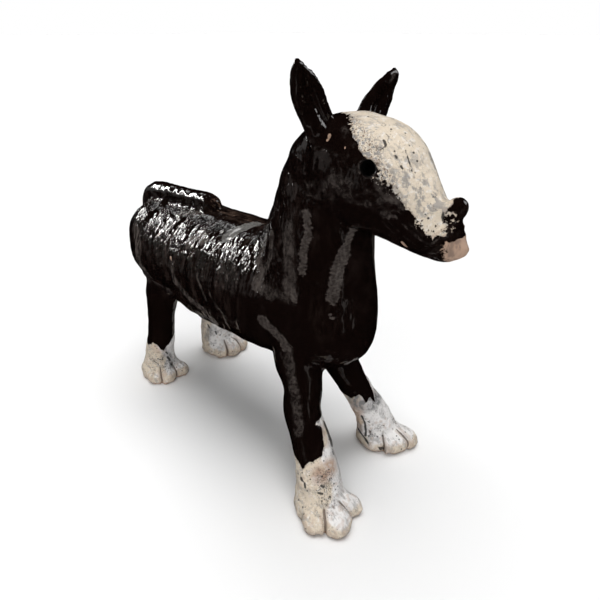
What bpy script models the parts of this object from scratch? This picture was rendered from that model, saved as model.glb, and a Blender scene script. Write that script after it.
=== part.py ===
"""Hand-built glazed ceramic dog, standing on four splayed feet with its tail laid along its back.

The clay was joined and fired as one piece, so the model is one solid. It faces -Y, its right side
is -X, and it stands on z = 0 with the middle of its plan box at the origin.
"""

import math

import bmesh
import bpy
from mathutils import Matrix, Vector

# Driving sizes, in metres.
HEIGHT = 0.50
EYE_HOLE_RADIUS = 0.0066
EYE_HOLE_DEPTH = 0.018
MOUTH_GROOVE_RADIUS = 0.0023
CLAY_VOXEL = 0.003
FLOOR_CUTTER_SIZE = (0.8 * HEIGHT, 1.6 * HEIGHT, 0.2 * HEIGHT)

# Every station below is in fiftieths of the height, which is a centimetre at the real size.
UNIT = HEIGHT / 50

RING_SIDES = 28
STEPS_BETWEEN_STATIONS = 5
LUMP_SEGMENTS = 24
LUMP_RINGS = 16
EYE_SEGMENTS = 20
SMOOTHING_PASSES = 8
SMOOTHING_STRENGTH = 0.5
FACES_KEPT = 0.072

# Stations are x, y, z, half width along X and half depth across the run.
TORSO = (
    (0, 26.4, 23.3, 2.5, 2.5),
    (0, 25.7, 23.5, 4.5, 4.5),
    (0, 23.7, 22.8, 6.4, 5.9),
    (0, 19.5, 22.3, 7.7, 6.9),
    (0, 15.0, 22.5, 8.0, 7.3),
    (0, 9.0, 22.0, 8.1, 7.9),
    (0, 1.0, 22.0, 7.8, 8.1),
    (0, -5.0, 22.3, 7.4, 8.1),
    (0, -9.5, 22.4, 6.6, 7.0),
    (0, -12.5, 22.2, 5.0, 5.6),
    (0, -14.2, 21.8, 2.0, 3.0),
)
# The right haunch fills out the rump, as a middle and three half sizes.
HAUNCH = ((-2.1, 20.8, 24.5), (4.9, 5.2, 4.9))
# The chest and neck are one upright column.
NECK = (
    (0, -8.7, 16.7, 3.6, 5.0),
    (0, -8.8, 17.2, 4.8, 6.3),
    (0, -8.9, 18.4, 6.0, 7.7),
    (0, -9.0, 20.8, 6.7, 8.4),
    (0, -8.9, 24.0, 6.6, 8.3),
    (0, -9.3, 28.6, 6.0, 7.4),
    (0, -10.1, 32.6, 5.5, 6.3),
    (0, -10.7, 36.0, 5.0, 5.6),
    (0, -11.1, 38.6, 4.6, 5.0),
    (0, -11.4, 40.2, 3.6, 3.6),
    (0, -11.6, 41.4, 1.6, 1.6),
)
HEAD = (
    (0, -7.7, 38.3, 2.0, 2.2),
    (0, -8.5, 38.6, 3.6, 3.6),
    (0, -11.0, 39.1, 4.8, 4.7),
    (0, -14.5, 39.8, 5.1, 5.3),
    (0, -18.0, 38.85, 4.8, 5.5),
    (0, -20.8, 37.2, 3.6, 4.4),
    (0, -23.4, 35.65, 2.5, 3.25),
    (0, -25.6, 35.0, 2.1, 2.5),
    (0, -26.9, 35.0, 1.5, 1.8),
)
# The chin juts forward under the mouth.
CHIN = (
    (0, -24.6, 34.2, 1.8, 1.4),
    (0, -26.2, 34.1, 1.5, 1.0),
    (0, -27.3, 34.1, 1.1, 0.8),
    (0, -27.9, 34.0, 0.55, 0.45),
)
# The nose and its right wing, each as a middle and three half sizes.
NOSE = ((0, -26.3, 38.0), (1.0, 0.85, 0.95))
NOSE_WING = ((-1.0, -25.5, 37.6), (0.65, 0.75, 0.75))
# An ear's stations add how far its edges curl forward. The left ear is the shorter one.
RIGHT_EAR = (
    (-2.9, -13.1, 41.4, 1.75, 0.9, 0.1),
    (-3.3, -13.1, 42.8, 1.8, 0.9, 0.2),
    (-4.3, -12.9, 44.6, 1.9, 0.8, 0.45),
    (-5.05, -12.8, 45.8, 1.95, 0.7, 0.6),
    (-5.95, -12.9, 47.4, 1.8, 0.6, 0.55),
    (-6.8, -13.2, 48.9, 1.15, 0.45, 0.25),
    (-7.2, -13.4, 50.0, 0.4, 0.35, 0.0),
)
LEFT_EAR = (
    (2.6, -13.1, 41.4, 1.75, 0.9, 0.1),
    (3.0, -13.1, 42.6, 1.8, 0.9, 0.2),
    (3.95, -12.9, 44.1, 1.85, 0.8, 0.45),
    (4.8, -12.8, 45.2, 1.85, 0.7, 0.6),
    (6.0, -12.9, 46.6, 1.6, 0.6, 0.55),
    (7.0, -13.2, 47.7, 1.2, 0.45, 0.25),
    (7.5, -13.4, 48.5, 0.7, 0.35, 0.0),
)
EAR_TURN = math.radians(-7)
TAIL = (
    (0, 21.0, 25.8, 3.0, 3.0),
    (0, 23.6, 26.4, 3.0, 3.0),
    (0, 25.0, 27.7, 2.6, 2.3),
    (0, 24.9, 28.9, 2.1, 2.0),
    (0, 22.6, 29.4, 1.85, 2.0),
    (0, 18.0, 29.8, 1.65, 1.75),
    (0, 13.0, 30.3, 1.5, 1.55),
    (0, 10.4, 30.4, 1.35, 1.45),
    (0, 9.5, 30.3, 0.8, 0.9),
)
FRONT_RIGHT_LEG = (
    (-4.2, -9.2, 19.0, 2.2, 2.8),
    (-4.3, -10.6, 16.4, 2.7, 2.9),
    (-4.7, -11.8, 14.0, 2.35, 2.4),
    (-5.5, -12.5, 10.8, 2.2, 2.35),
    (-5.9, -14.5, 7.5, 2.3, 2.4),
    (-6.5, -16.1, 4.8, 2.5, 2.7),
    (-7.0, -16.9, 2.2, 2.9, 3.1),
)
FRONT_LEFT_LEG = (
    (2.8, -9.2, 18.5, 2.2, 2.6),
    (3.2, -10.0, 15.6, 2.5, 2.7),
    (3.8, -10.8, 12.3, 2.15, 2.3),
    (5.2, -12.1, 8.7, 2.0, 2.15),
    (6.75, -13.7, 4.9, 2.25, 2.5),
    (7.5, -14.5, 2.2, 2.4, 2.6),
)
REAR_RIGHT_LEG = (
    (-4.4, 17.8, 20.0, 2.2, 2.6),
    (-4.6, 18.6, 16.5, 2.5, 2.7),
    (-4.9, 19.2, 12.5, 2.05, 2.15),
    (-5.1, 19.9, 8.5, 2.05, 2.15),
    (-5.3, 20.7, 5.0, 2.15, 2.3),
    (-5.4, 21.1, 2.2, 2.6, 2.7),
)
REAR_LEFT_LEG = (
    (4.4, 17.0, 20.0, 2.2, 2.6),
    (4.9, 18.0, 16.5, 2.6, 2.8),
    (5.4, 19.2, 12.5, 2.3, 2.4),
    (5.8, 20.2, 8.5, 2.3, 2.4),
    (6.1, 20.9, 5.0, 2.4, 2.6),
    (6.3, 21.2, 2.2, 2.8, 2.9),
)
# A foot's place, its pad's radius, and its toes from the dog's right to its left. A toe is its
# direction in degrees from straight ahead towards the dog's left, its reach and its half width.
FEET = (
    ((-7.3, -17.5), 3.3, ((-64, 4.7, 1.75), (-17, 5.6, 1.75), (36, 5.3, 1.5))),
    ((7.6, -14.4), 3.0, ((-62, 3.5, 1.6), (-8, 4.7, 1.65), (27, 5.9, 1.9))),
    ((-5.4, 21.4), 3.0, ((-48, 3.8, 1.5), (-8, 4.3, 1.5), (40, 5.0, 1.5))),
    ((6.6, 20.9), 3.1, ((-34, 4.1, 1.5), (4, 4.8, 1.5), (44, 5.3, 1.65))),
)
# The lumps of a foot sit this far up, and the floor cuts their undersides flat.
FOOT_REST = 0.9
PAD_HALF_HEIGHT = 2.9
TOE_HALF_HEIGHT = 1.85
# How much of a toe's reach is its half length, from the tip back into the pad.
TOE_SHARE = 0.56

# The right eye's middle and the way it looks. The hole is a little taller than wide.
EYE = (-4.25, -19.4, 41.05)
EYE_LOOKS = (-0.86, -0.36, 0.37)
EYE_TALLNESS = 1.2
EYE_TAPER = 0.8
# The mouth's line on the right side, from its corner to the middle of the lip.
MOUTH = (
    (-3.2, -21.8, 36.4),
    (-2.75, -22.8, 35.4),
    (-2.4, -23.9, 34.7),
    (-2.2, -24.8, 34.3),
    (-2.1, -25.6, 34.4),
    (-1.85, -26.2, 35.0),
    (-1.4, -26.7, 35.6),
    (-0.7, -27.0, 35.95),
    (0, -27.05, 36.1),
)


def clear_scene():
    """Starts from an empty scene."""
    for item in list(bpy.data.objects):
        bpy.data.objects.remove(item)


def collection_named(name):
    """A new collection in the scene."""
    collection = bpy.data.collections.new(name)
    bpy.context.scene.collection.children.link(collection)
    return collection


def object_from(shape, name, collection):
    """Turns a finished bmesh into an object with its faces outward."""
    bmesh.ops.recalc_face_normals(shape, faces=shape.faces)
    mesh = bpy.data.meshes.new(name)
    shape.to_mesh(mesh)
    shape.free()
    mesh.shade_smooth()
    item = bpy.data.objects.new(name, mesh)
    collection.objects.link(item)
    return item


def smooth_run(stations):
    """Adds Catmull-Rom points between the stations, in all of their numbers at once."""
    run = []
    last = len(stations) - 1
    for i in range(last):
        around = tuple(stations[min(max(k, 0), last)] for k in range(i - 1, i + 3))
        for step in range(STEPS_BETWEEN_STATIONS):
            t = step / STEPS_BETWEEN_STATIONS
            weights = (
                (-t + 2 * t**2 - t**3) / 2,
                (2 - 5 * t**2 + 3 * t**3) / 2,
                (t + 4 * t**2 - 3 * t**3) / 2,
                (-(t**2) + t**3) / 2,
            )
            run.append(tuple(sum(w * v for w, v in zip(weights, column)) for column in zip(*around)))
    run.append(stations[-1])
    return run


def add_loft(clay, stations, turn=0.0):
    """Skins a closed form over elliptical rings set square to the run of their centres."""
    run = smooth_run(stations)
    centres = [Vector(point[:3]) * UNIT for point in run]
    rings = []
    for i, point in enumerate(run):
        ahead = (centres[min(i + 1, len(run) - 1)] - centres[max(i - 1, 0)]).normalized()
        side = Vector((math.cos(turn), math.sin(turn), 0))
        side = (side - ahead * side.dot(ahead)).normalized()
        out = ahead.cross(side)
        half_width, half_depth = point[3] * UNIT, point[4] * UNIT
        curl = point[5] * UNIT if len(point) > 5 else 0.0
        ring = []
        for k in range(RING_SIDES):
            angle = math.tau * k / RING_SIDES
            across = side * (half_width * math.cos(angle))
            through = out * (half_depth * math.sin(angle) - curl * math.cos(angle) ** 2)
            ring.append(clay.verts.new(centres[i] + across + through))
        rings.append(ring)
    for near, far in zip(rings, rings[1:]):
        for k in range(RING_SIDES):
            n = (k + 1) % RING_SIDES
            clay.faces.new((near[k], near[n], far[n], far[k]))
    clay.faces.new(reversed(rings[0]))
    clay.faces.new(rings[-1])


def add_lump(clay, centre, radii, turn=0.0):
    """Presses on a rounded lump of clay."""
    place = (
        Matrix.Translation(Vector(centre) * UNIT)
        @ Matrix.Rotation(turn, 4, "Z")
        @ Matrix.Diagonal((*(r * UNIT for r in radii), 1))
    )
    bmesh.ops.create_uvsphere(
        clay, u_segments=LUMP_SEGMENTS, v_segments=LUMP_RINGS, radius=1, matrix=place
    )


def add_foot(clay, place, radius, toes):
    """A broad pad with three toes fanned out from it."""
    middle = Vector((*place, FOOT_REST))
    add_lump(clay, middle, (radius, radius, PAD_HALF_HEIGHT))
    for degrees, reach, half_width in toes:
        turn = math.radians(degrees)
        half_length = reach * TOE_SHARE
        ahead = Vector((math.sin(turn), -math.cos(turn), 0)) * (reach - half_length)
        add_lump(clay, middle + ahead, (half_width, half_length, TOE_HALF_HEIGHT), turn)


def mirrored(stations):
    """The same stations on the dog's other side."""
    return tuple((-s[0], *s[1:]) for s in stations)


def model_clay(collection):
    """All the clay as overlapping forms in one mesh."""
    clay = bmesh.new()
    for stations in (TORSO, NECK, HEAD, CHIN, TAIL):
        add_loft(clay, stations)
    for stations in (FRONT_RIGHT_LEG, FRONT_LEFT_LEG, REAR_RIGHT_LEG, REAR_LEFT_LEG):
        add_loft(clay, stations)
    for stations in (RIGHT_EAR, LEFT_EAR):
        add_loft(clay, stations, EAR_TURN)
    add_lump(clay, *NOSE)
    for centre, radii in (HAUNCH, NOSE_WING):
        for side in (centre, *mirrored((centre,))):
            add_lump(clay, side, radii)
    for place, radius, toes in FEET:
        add_foot(clay, place, radius, toes)
    return object_from(clay, "ceramic_dog", collection)


def eye_cutter(side, collection):
    """A tapered peg that opens one eye. The side is 1 for the dog's right and -1 for its left."""
    middle = Vector((EYE[0] * side, *EYE[1:])) * UNIT
    looks = Vector((EYE_LOOKS[0] * side, *EYE_LOOKS[1:])).normalized()
    # The peg stands as far out of the head as it goes in.
    place = (
        Matrix.Translation(middle)
        @ looks.to_track_quat("Z", "Y").to_matrix().to_4x4()
        @ Matrix.Diagonal((1, EYE_TALLNESS, 1, 1))
    )
    peg = bmesh.new()
    bmesh.ops.create_cone(
        peg,
        cap_ends=True,
        segments=EYE_SEGMENTS,
        radius1=EYE_HOLE_RADIUS * EYE_TAPER,
        radius2=EYE_HOLE_RADIUS * (2 - EYE_TAPER),
        depth=EYE_HOLE_DEPTH * 2,
        matrix=place,
    )
    return object_from(peg, "eye_peg_right" if side > 0 else "eye_peg_left", collection)


def mouth_cutter(collection):
    """A thin roll laid along the mouth's line and round to the other side."""
    radius = MOUTH_GROOVE_RADIUS / UNIT
    line = MOUTH + mirrored(MOUTH[-2::-1])
    groove = bmesh.new()
    add_loft(groove, tuple((*point, radius, radius) for point in line), math.radians(90))
    return object_from(groove, "mouth_roll", collection)


def floor_cutter(collection):
    """A slab whose top is the floor."""
    slab = bmesh.new()
    width, length, thickness = FLOOR_CUTTER_SIZE
    place = Matrix.Translation((0, 0, -thickness / 2)) @ Matrix.Diagonal((width, length, thickness, 1))
    bmesh.ops.create_cube(slab, size=1, matrix=place)
    return object_from(slab, "floor_slab", collection)


def cut(item, cutter):
    """Takes the cutter's shape out of the object. The cutter moves with it."""
    cutter.hide_render = True
    cutter.display_type = "WIRE"
    cutter.parent = item
    difference = item.modifiers.new(f"Cut by {cutter.name}", "BOOLEAN")
    difference.operation = "DIFFERENCE"
    difference.solver = "EXACT"
    difference.object = cutter


def glaze():
    """Glossy black glaze, which covers most of the dog."""
    material = bpy.data.materials.new("Black glaze")
    material.use_nodes = True
    shader = material.node_tree.nodes["Principled BSDF"]
    shader.inputs["Base Color"].default_value = (0.012, 0.009, 0.008, 1)
    shader.inputs["Roughness"].default_value = 0.16
    shader.inputs["Metallic"].default_value = 0.0
    return material


def stand_over_origin(item):
    """Moves the dog so that the middle of its plan box is at the origin."""
    bpy.context.view_layer.update()
    box = item.evaluated_get(bpy.context.evaluated_depsgraph_get()).bound_box
    for axis in (0, 1):
        item.location[axis] = -(min(c[axis] for c in box) + max(c[axis] for c in box)) / 2


def main():
    clear_scene()
    parts = collection_named("Ceramic dog")
    cutters = collection_named("Cutters")
    dog = model_clay(parts)
    dog.data.materials.append(glaze())
    remesh = dog.modifiers.new("Blend the clay", "REMESH")
    remesh.mode = "VOXEL"
    remesh.voxel_size = CLAY_VOXEL
    remesh.use_smooth_shade = True
    smooth = dog.modifiers.new("Smooth the joins", "SMOOTH")
    smooth.iterations = SMOOTHING_PASSES
    smooth.factor = SMOOTHING_STRENGTH
    for cutter in (eye_cutter(1, cutters), eye_cutter(-1, cutters), mouth_cutter(cutters)):
        cut(dog, cutter)
    fewer = dog.modifiers.new("Fewer faces", "DECIMATE")
    fewer.ratio = FACES_KEPT
    cut(dog, floor_cutter(cutters))
    stand_over_origin(dog)


main()
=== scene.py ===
"""Dresses the hand-built ceramic dog in its worked clay, poured glazes and studio.

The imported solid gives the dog's form. A fine skin is drawn over that solid, worked with the maker's
finger marks, toe clefts, lips and runs of glaze, and coloured black, cream and bare clay in one
material. Small glaze blisters are scattered over it, and a plain studio stands round it.

Places on the dog are in centimetres in the maker's frame, whose X = 0 is the dog's middle plane.
"""

from __future__ import annotations

import itertools
import logging
import math
from dataclasses import dataclass
from enum import Enum
from typing import Any

import bmesh
import bpy
import numpy as np
from mathutils import Matrix, Vector


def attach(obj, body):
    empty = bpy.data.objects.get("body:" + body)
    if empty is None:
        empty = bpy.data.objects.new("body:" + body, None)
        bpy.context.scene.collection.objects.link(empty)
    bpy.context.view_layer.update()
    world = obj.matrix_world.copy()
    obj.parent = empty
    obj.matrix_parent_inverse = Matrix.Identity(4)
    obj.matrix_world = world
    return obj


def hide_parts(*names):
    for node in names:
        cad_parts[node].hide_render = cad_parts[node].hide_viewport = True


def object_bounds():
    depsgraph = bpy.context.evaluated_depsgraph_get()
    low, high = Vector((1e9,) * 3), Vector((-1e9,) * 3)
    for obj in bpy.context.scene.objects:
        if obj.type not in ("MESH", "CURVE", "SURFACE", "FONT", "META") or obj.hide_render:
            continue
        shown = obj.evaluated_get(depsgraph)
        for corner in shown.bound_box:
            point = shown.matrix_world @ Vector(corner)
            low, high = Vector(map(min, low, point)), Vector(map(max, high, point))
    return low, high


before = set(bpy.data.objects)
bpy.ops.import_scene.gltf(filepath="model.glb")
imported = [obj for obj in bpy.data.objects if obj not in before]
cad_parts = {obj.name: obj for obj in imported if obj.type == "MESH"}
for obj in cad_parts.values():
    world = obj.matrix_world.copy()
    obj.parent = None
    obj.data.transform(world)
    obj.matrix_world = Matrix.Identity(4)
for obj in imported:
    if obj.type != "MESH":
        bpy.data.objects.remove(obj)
SOLID_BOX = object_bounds()

log = logging.getLogger("ceramic dog")

NODE = "ceramic_dog"
BODY = "root"
CM = 0.01
MM_IN_CM = 10.0
MM_IN_M = 1000.0
# Where the maker's frame stands in the row's frame, in centimetres.
STANDS = np.array([0.2895, 0.0506, 0.0])

Place = tuple[float, float, float]

# How far a mark's path may lie above or under the surface that it marks, in centimetres.
PATH_SLACK = 0.6
# The shares by which one round of smoothing draws the surface in and then lets it out again.
DRAW_IN_AND_OUT = (0.55, -0.57)
# Heights over the floor: where the flat soles end, and where the marks reach their full depth.
SOLE_TOP = 0.06
MARKS_FROM = 0.25
# Corners of the solid that are closer than this, in metres, are one corner.
WELD = 0.00001
# The share of the way to its neighbours' mean that a point goes in one round of blurring.
BLUR_SHARE = 0.7
# Seeds for the slip's yellow patches, the line between cream and white, and the blistered patches.
YELLOW_SEED = 41
SPLIT_SEED = 43
BLISTER_SEED = 77
# Large odd numbers that stir a corner's place into a key that looks random.
STIRRERS = (0x9E3779B97F4A7C15, 0xC2B2AE3D27D4EB4F, 0x165667B19E3779F9)
LAST_STIRRER = 0xBF58476D1CE4E5B9
# Keeps the noise's corners above 0 everywhere, and brings its usual swing to about -1 to 1.
NOISE_SHIFT = 1000.0
NOISE_SWING = 1.7
# Where a mark's soft rim starts and where it is full, as shares of its radius inside its edge.
RIM_START = -0.6
RIM_FULL = 0.5


class Side(Enum):
    """The dog's two sides, as the sign of X."""

    RIGHT = -1
    LEFT = 1


def eased(low: float, high: float, value: np.ndarray) -> np.ndarray:
    """Rises smoothly from 0 at low to 1 at high.

    Args:
        low: Where the rise starts. It may be above high, for a fall.
        high: Where the rise ends.
        value: The numbers to ease.

    Returns:
        The eased numbers, from 0 to 1.
    """
    t = np.clip((value - low) / (high - low), 0, 1)
    return t * t * (3 - 2 * t)


def bell(value: np.ndarray, width: float) -> np.ndarray:
    """A soft bump round zero, one in the middle and near nothing two widths out."""
    return np.exp(-((value / width) ** 2))


def from_path(
    points: np.ndarray, path: tuple[Place, ...], normals: np.ndarray | None = None
) -> np.ndarray:
    """How far points are from a path.

    Args:
        points: Places, one row each.
        path: The path's corners, or a single place.
        normals: The surface's outward directions, where the distance is measured along the surface.

    Returns:
        The distance from each point to the path's nearest place.
    """
    nearest = np.full(len(points), np.inf)
    for start, end in itertools.pairwise(path if len(path) > 1 else path * 2):
        a, b = np.array(start), np.array(end)
        t = np.clip((points - a) @ (b - a) / max((b - a) @ (b - a), 1e-9), 0, 1)
        apart = points - (a + t[:, None] * (b - a))
        if normals is not None:
            sunk = (apart * normals).sum(axis=1)
            apart = apart - np.clip(sunk, -PATH_SLACK, PATH_SLACK)[:, None] * normals
        nearest = np.minimum(nearest, np.linalg.norm(apart, axis=1))
    return nearest


def placed(name: str, data: bpy.types.ID) -> bpy.types.Object:
    """Makes an object of a mesh, a light or a camera, and links it to the scene.

    Args:
        name: The object's name.
        data: What it shows.

    Returns:
        The object, at the origin.
    """
    made = bpy.data.objects.new(name, data)
    bpy.context.scene.collection.objects.link(made)
    return made


def plain_mesh(carrier: bpy.types.Object) -> bpy.types.Mesh:
    """Gives a new mesh as an object's modifiers leave it.

    Args:
        carrier: The object with the modifiers.

    Returns:
        The plain mesh.
    """
    bpy.context.view_layer.update()
    finished = carrier.evaluated_get(bpy.context.evaluated_depsgraph_get())
    return bpy.data.meshes.new_from_object(finished)


@dataclass(frozen=True)
class ClayNoise:
    """Smooth seeded noise through space, for the unevenness of worked clay."""

    seed: int

    def _slopes(self, cell: np.ndarray) -> np.ndarray:
        """Gives each lattice corner its own slope.

        Args:
            cell: Whole-number corners, one row each.

        Returns:
            One slope of unit length for each corner.
        """
        mixed = np.zeros(len(cell), np.uint64)
        for along, stirrer in zip(cell.astype(np.uint64).T, STIRRERS):
            mixed ^= along * np.uint64(stirrer)
        mixed += np.uint64(self.seed * 7919 + 13)
        mixed ^= mixed >> np.uint64(31)
        mixed *= np.uint64(LAST_STIRRER)
        mixed ^= mixed >> np.uint64(29)
        around = (mixed & np.uint64(0xFFFF)).astype(float) / 65536 * math.tau
        up = ((mixed >> np.uint64(16)) & np.uint64(0xFFFF)).astype(float) / 32768 - 1
        flat = np.sqrt(np.clip(1 - up**2, 0, 1))
        return np.stack([flat * np.cos(around), flat * np.sin(around), up], axis=1)

    def at(self, points: np.ndarray, size: float) -> np.ndarray:
        """Reads the noise at points.

        Args:
            points: Places, one row each.
            size: How far apart the noise's swells are.

        Returns:
            A number from about -1 to 1 for each point.
        """
        scaled = points / size + NOISE_SHIFT
        cell = np.floor(scaled).astype(np.int64)
        local = scaled - cell
        ease = local**3 * (local * (local * 6 - 15) + 10)
        total = np.zeros(len(points))
        for corner in itertools.product((0, 1), repeat=3):
            step = np.array(corner)
            reach = ((local - step) * self._slopes(cell + step)).sum(axis=1)
            total += reach * np.prod(np.where(step == 1, ease, 1 - ease), axis=1)
        return total * NOISE_SWING


class Skin:
    """The dog's fine surface as arrays that the maker's marks push in and out, in centimetres."""

    def __init__(self, mesh: bpy.types.Mesh) -> None:
        """Reads a mesh.

        Args:
            mesh: The fine mesh to work on. It is written again by store.
        """
        self.mesh = mesh
        flat = np.zeros(len(mesh.vertices) * 3, np.float32)
        mesh.vertices.foreach_get("co", flat)
        self.points = flat.reshape(-1, 3) / CM - STANDS
        ends = np.zeros(len(mesh.edges) * 2, np.int32)
        mesh.edges.foreach_get("vertices", ends)
        ends = ends.reshape(-1, 2)
        self.near = np.concatenate([ends[:, 0], ends[:, 1]])
        self.far = np.concatenate([ends[:, 1], ends[:, 0]])
        self.degree = np.maximum(np.bincount(self.near, minlength=len(self.points)), 1)

    def around(self, values: np.ndarray) -> np.ndarray:
        """The mean of each point's neighbours.

        Args:
            values: One number, or one row, for each point.

        Returns:
            The neighbours' means in the same form.
        """
        if values.ndim == 1:
            return np.bincount(self.near, values[self.far], len(self.points)) / self.degree
        return np.stack([self.around(column) for column in values.T], axis=1)

    def relax(self, passes: int, share: np.ndarray) -> None:
        """Smooths the surface without shrinking it.

        Args:
            passes: How many times to smooth.
            share: How much of it each point takes, from 0 to 1.
        """
        for _ in range(passes):
            for strength in DRAW_IN_AND_OUT:
                self.points += (self.around(self.points) - self.points) * (share * strength)[:, None]

    def normals(self) -> np.ndarray:
        """Works out which way the surface faces.

        Returns:
            An outward direction of unit length for each point.
        """
        self.store()
        found = np.zeros(len(self.points) * 3, np.float32)
        self.mesh.vertex_normals.foreach_get("vector", found)
        return found.reshape(-1, 3).astype(float)

    def hollowness(self, passes: int = 4) -> np.ndarray:
        """How hollow the surface is.

        Args:
            passes: How many times the surface it is compared with is smoothed.

        Returns:
            A depth for each point, above 0 in creases and below 0 on ridges.
        """
        smooth = self.points.copy()
        for _ in range(passes):
            smooth += (self.around(smooth) - smooth) * BLUR_SHARE
        return ((smooth - self.points) * self.normals()).sum(axis=1)

    def push(self, height: np.ndarray) -> None:
        """Moves each point out along its normal."""
        self.points += self.normals() * height[:, None]

    def keep_within(self, low: Vector, high: Vector) -> None:
        """Holds every point inside a box that is given in metres."""
        self.points = np.clip(self.points, np.array(low) / CM - STANDS, np.array(high) / CM - STANDS)

    def store(self) -> None:
        """Writes the points back to the mesh."""
        placed = (self.points + STANDS) * CM
        self.mesh.vertices.foreach_set("co", placed.astype(np.float32).ravel())
        self.mesh.update()

    def write(self, name: str, values: np.ndarray) -> None:
        """Keeps one number for each point as a named attribute."""
        attribute = self.mesh.attributes.new(name, "FLOAT", "POINT")
        attribute.data.foreach_set("value", values.astype(np.float32))


@dataclass(frozen=True)
class Foot:
    """One foot: its middle, where its toes part, and how far the glaze runs down above it.

    The glaze's edge is a height at each direction in degrees round the shank, with 0 straight ahead
    and plus towards the dog's left. As the photograph shows the foot, its slip is cream to the left
    of a line and white to the right, and cream_up_to is how far right of the middle that line is.
    """

    middle: tuple[float, float]
    partings: tuple[float, float]
    shank: tuple[float, float]
    edge: tuple[tuple[float, float], ...]
    cream_up_to: float
    leg_reach: float = 8.5
    leg_top: float = 13.5

    def bearing(self, points: np.ndarray) -> np.ndarray:
        """The direction of each point round the shank, in degrees."""
        return np.degrees(np.arctan2(points[:, 0] - self.shank[0], self.shank[1] - points[:, 1]))

    def near(self, points: np.ndarray) -> np.ndarray:
        """Whether each point is on this leg's lower half."""
        away = np.hypot(points[:, 0] - self.shank[0], points[:, 1] - self.shank[1])
        return (away < self.leg_reach) & (points[:, 2] < self.leg_top)

    def below_edge(self, points: np.ndarray) -> np.ndarray:
        """How far each point is under the glaze's edge."""
        heading, height = zip(*self.edge)
        return np.interp(self.bearing(points), heading, height, period=360) - points[:, 2]

    def aside(self, points: np.ndarray) -> np.ndarray:
        """How far each point is from the foot's middle, towards the photograph's right."""
        return ((points[:, :2] - np.array(self.middle)) @ np.array([1.0, -1.0])) / math.sqrt(2)


FRONT_RIGHT = Foot(
    middle=(-7.3, -17.5),
    partings=(-40.0, 9.0),
    shank=(-6.2, -15.2),
    edge=(
        (-150, 7.0), (-110, 6.6), (-95, 6.5), (-79, 6.0), (-66, 6.9), (-38, 7.4), (-18, 7.8),
        (-4, 8.6), (28, 9.4), (60, 10.2), (78, 10.6), (98, 10.9), (122, 10.4), (150, 8.2),
    ),
    cream_up_to=0.1,
)
FRONT_LEFT = Foot(
    middle=(7.6, -14.4),
    partings=(-36.0, 9.5),
    shank=(5.5, -12.4),
    edge=(
        (-150, 8.0), (-103, 8.3), (-76, 8.2), (-55, 8.9), (-36, 8.6), (-24, 7.8), (-8, 8.4),
        (4, 7.5), (14, 8.6), (30, 10.4), (44, 11.2), (62, 8.8), (120, 8.1),
    ),
    cream_up_to=-3.0,
)
REAR_RIGHT = Foot(
    middle=(-5.4, 21.4),
    partings=(-28.0, 16.0),
    shank=(-5.2, 20.3),
    edge=(
        (-150, 6.9), (-90, 6.7), (-66, 7.4), (-47, 7.1), (-25, 5.9), (-2, 6.8), (18, 7.8),
        (50, 8.4), (90, 7.5), (140, 6.8),
    ),
    cream_up_to=0.9,
)
REAR_LEFT = Foot(
    middle=(6.6, 20.9),
    partings=(-15.0, 24.0),
    shank=(6.0, 20.5),
    edge=((-140, 8.0), (-90, 8.8), (-40, 9.2), (0, 8.6), (40, 7.4), (100, 7.9), (160, 7.2)),
    cream_up_to=-1.6,
)
FEET = (FRONT_RIGHT, FRONT_LEFT, REAR_RIGHT, REAR_LEFT)


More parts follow.
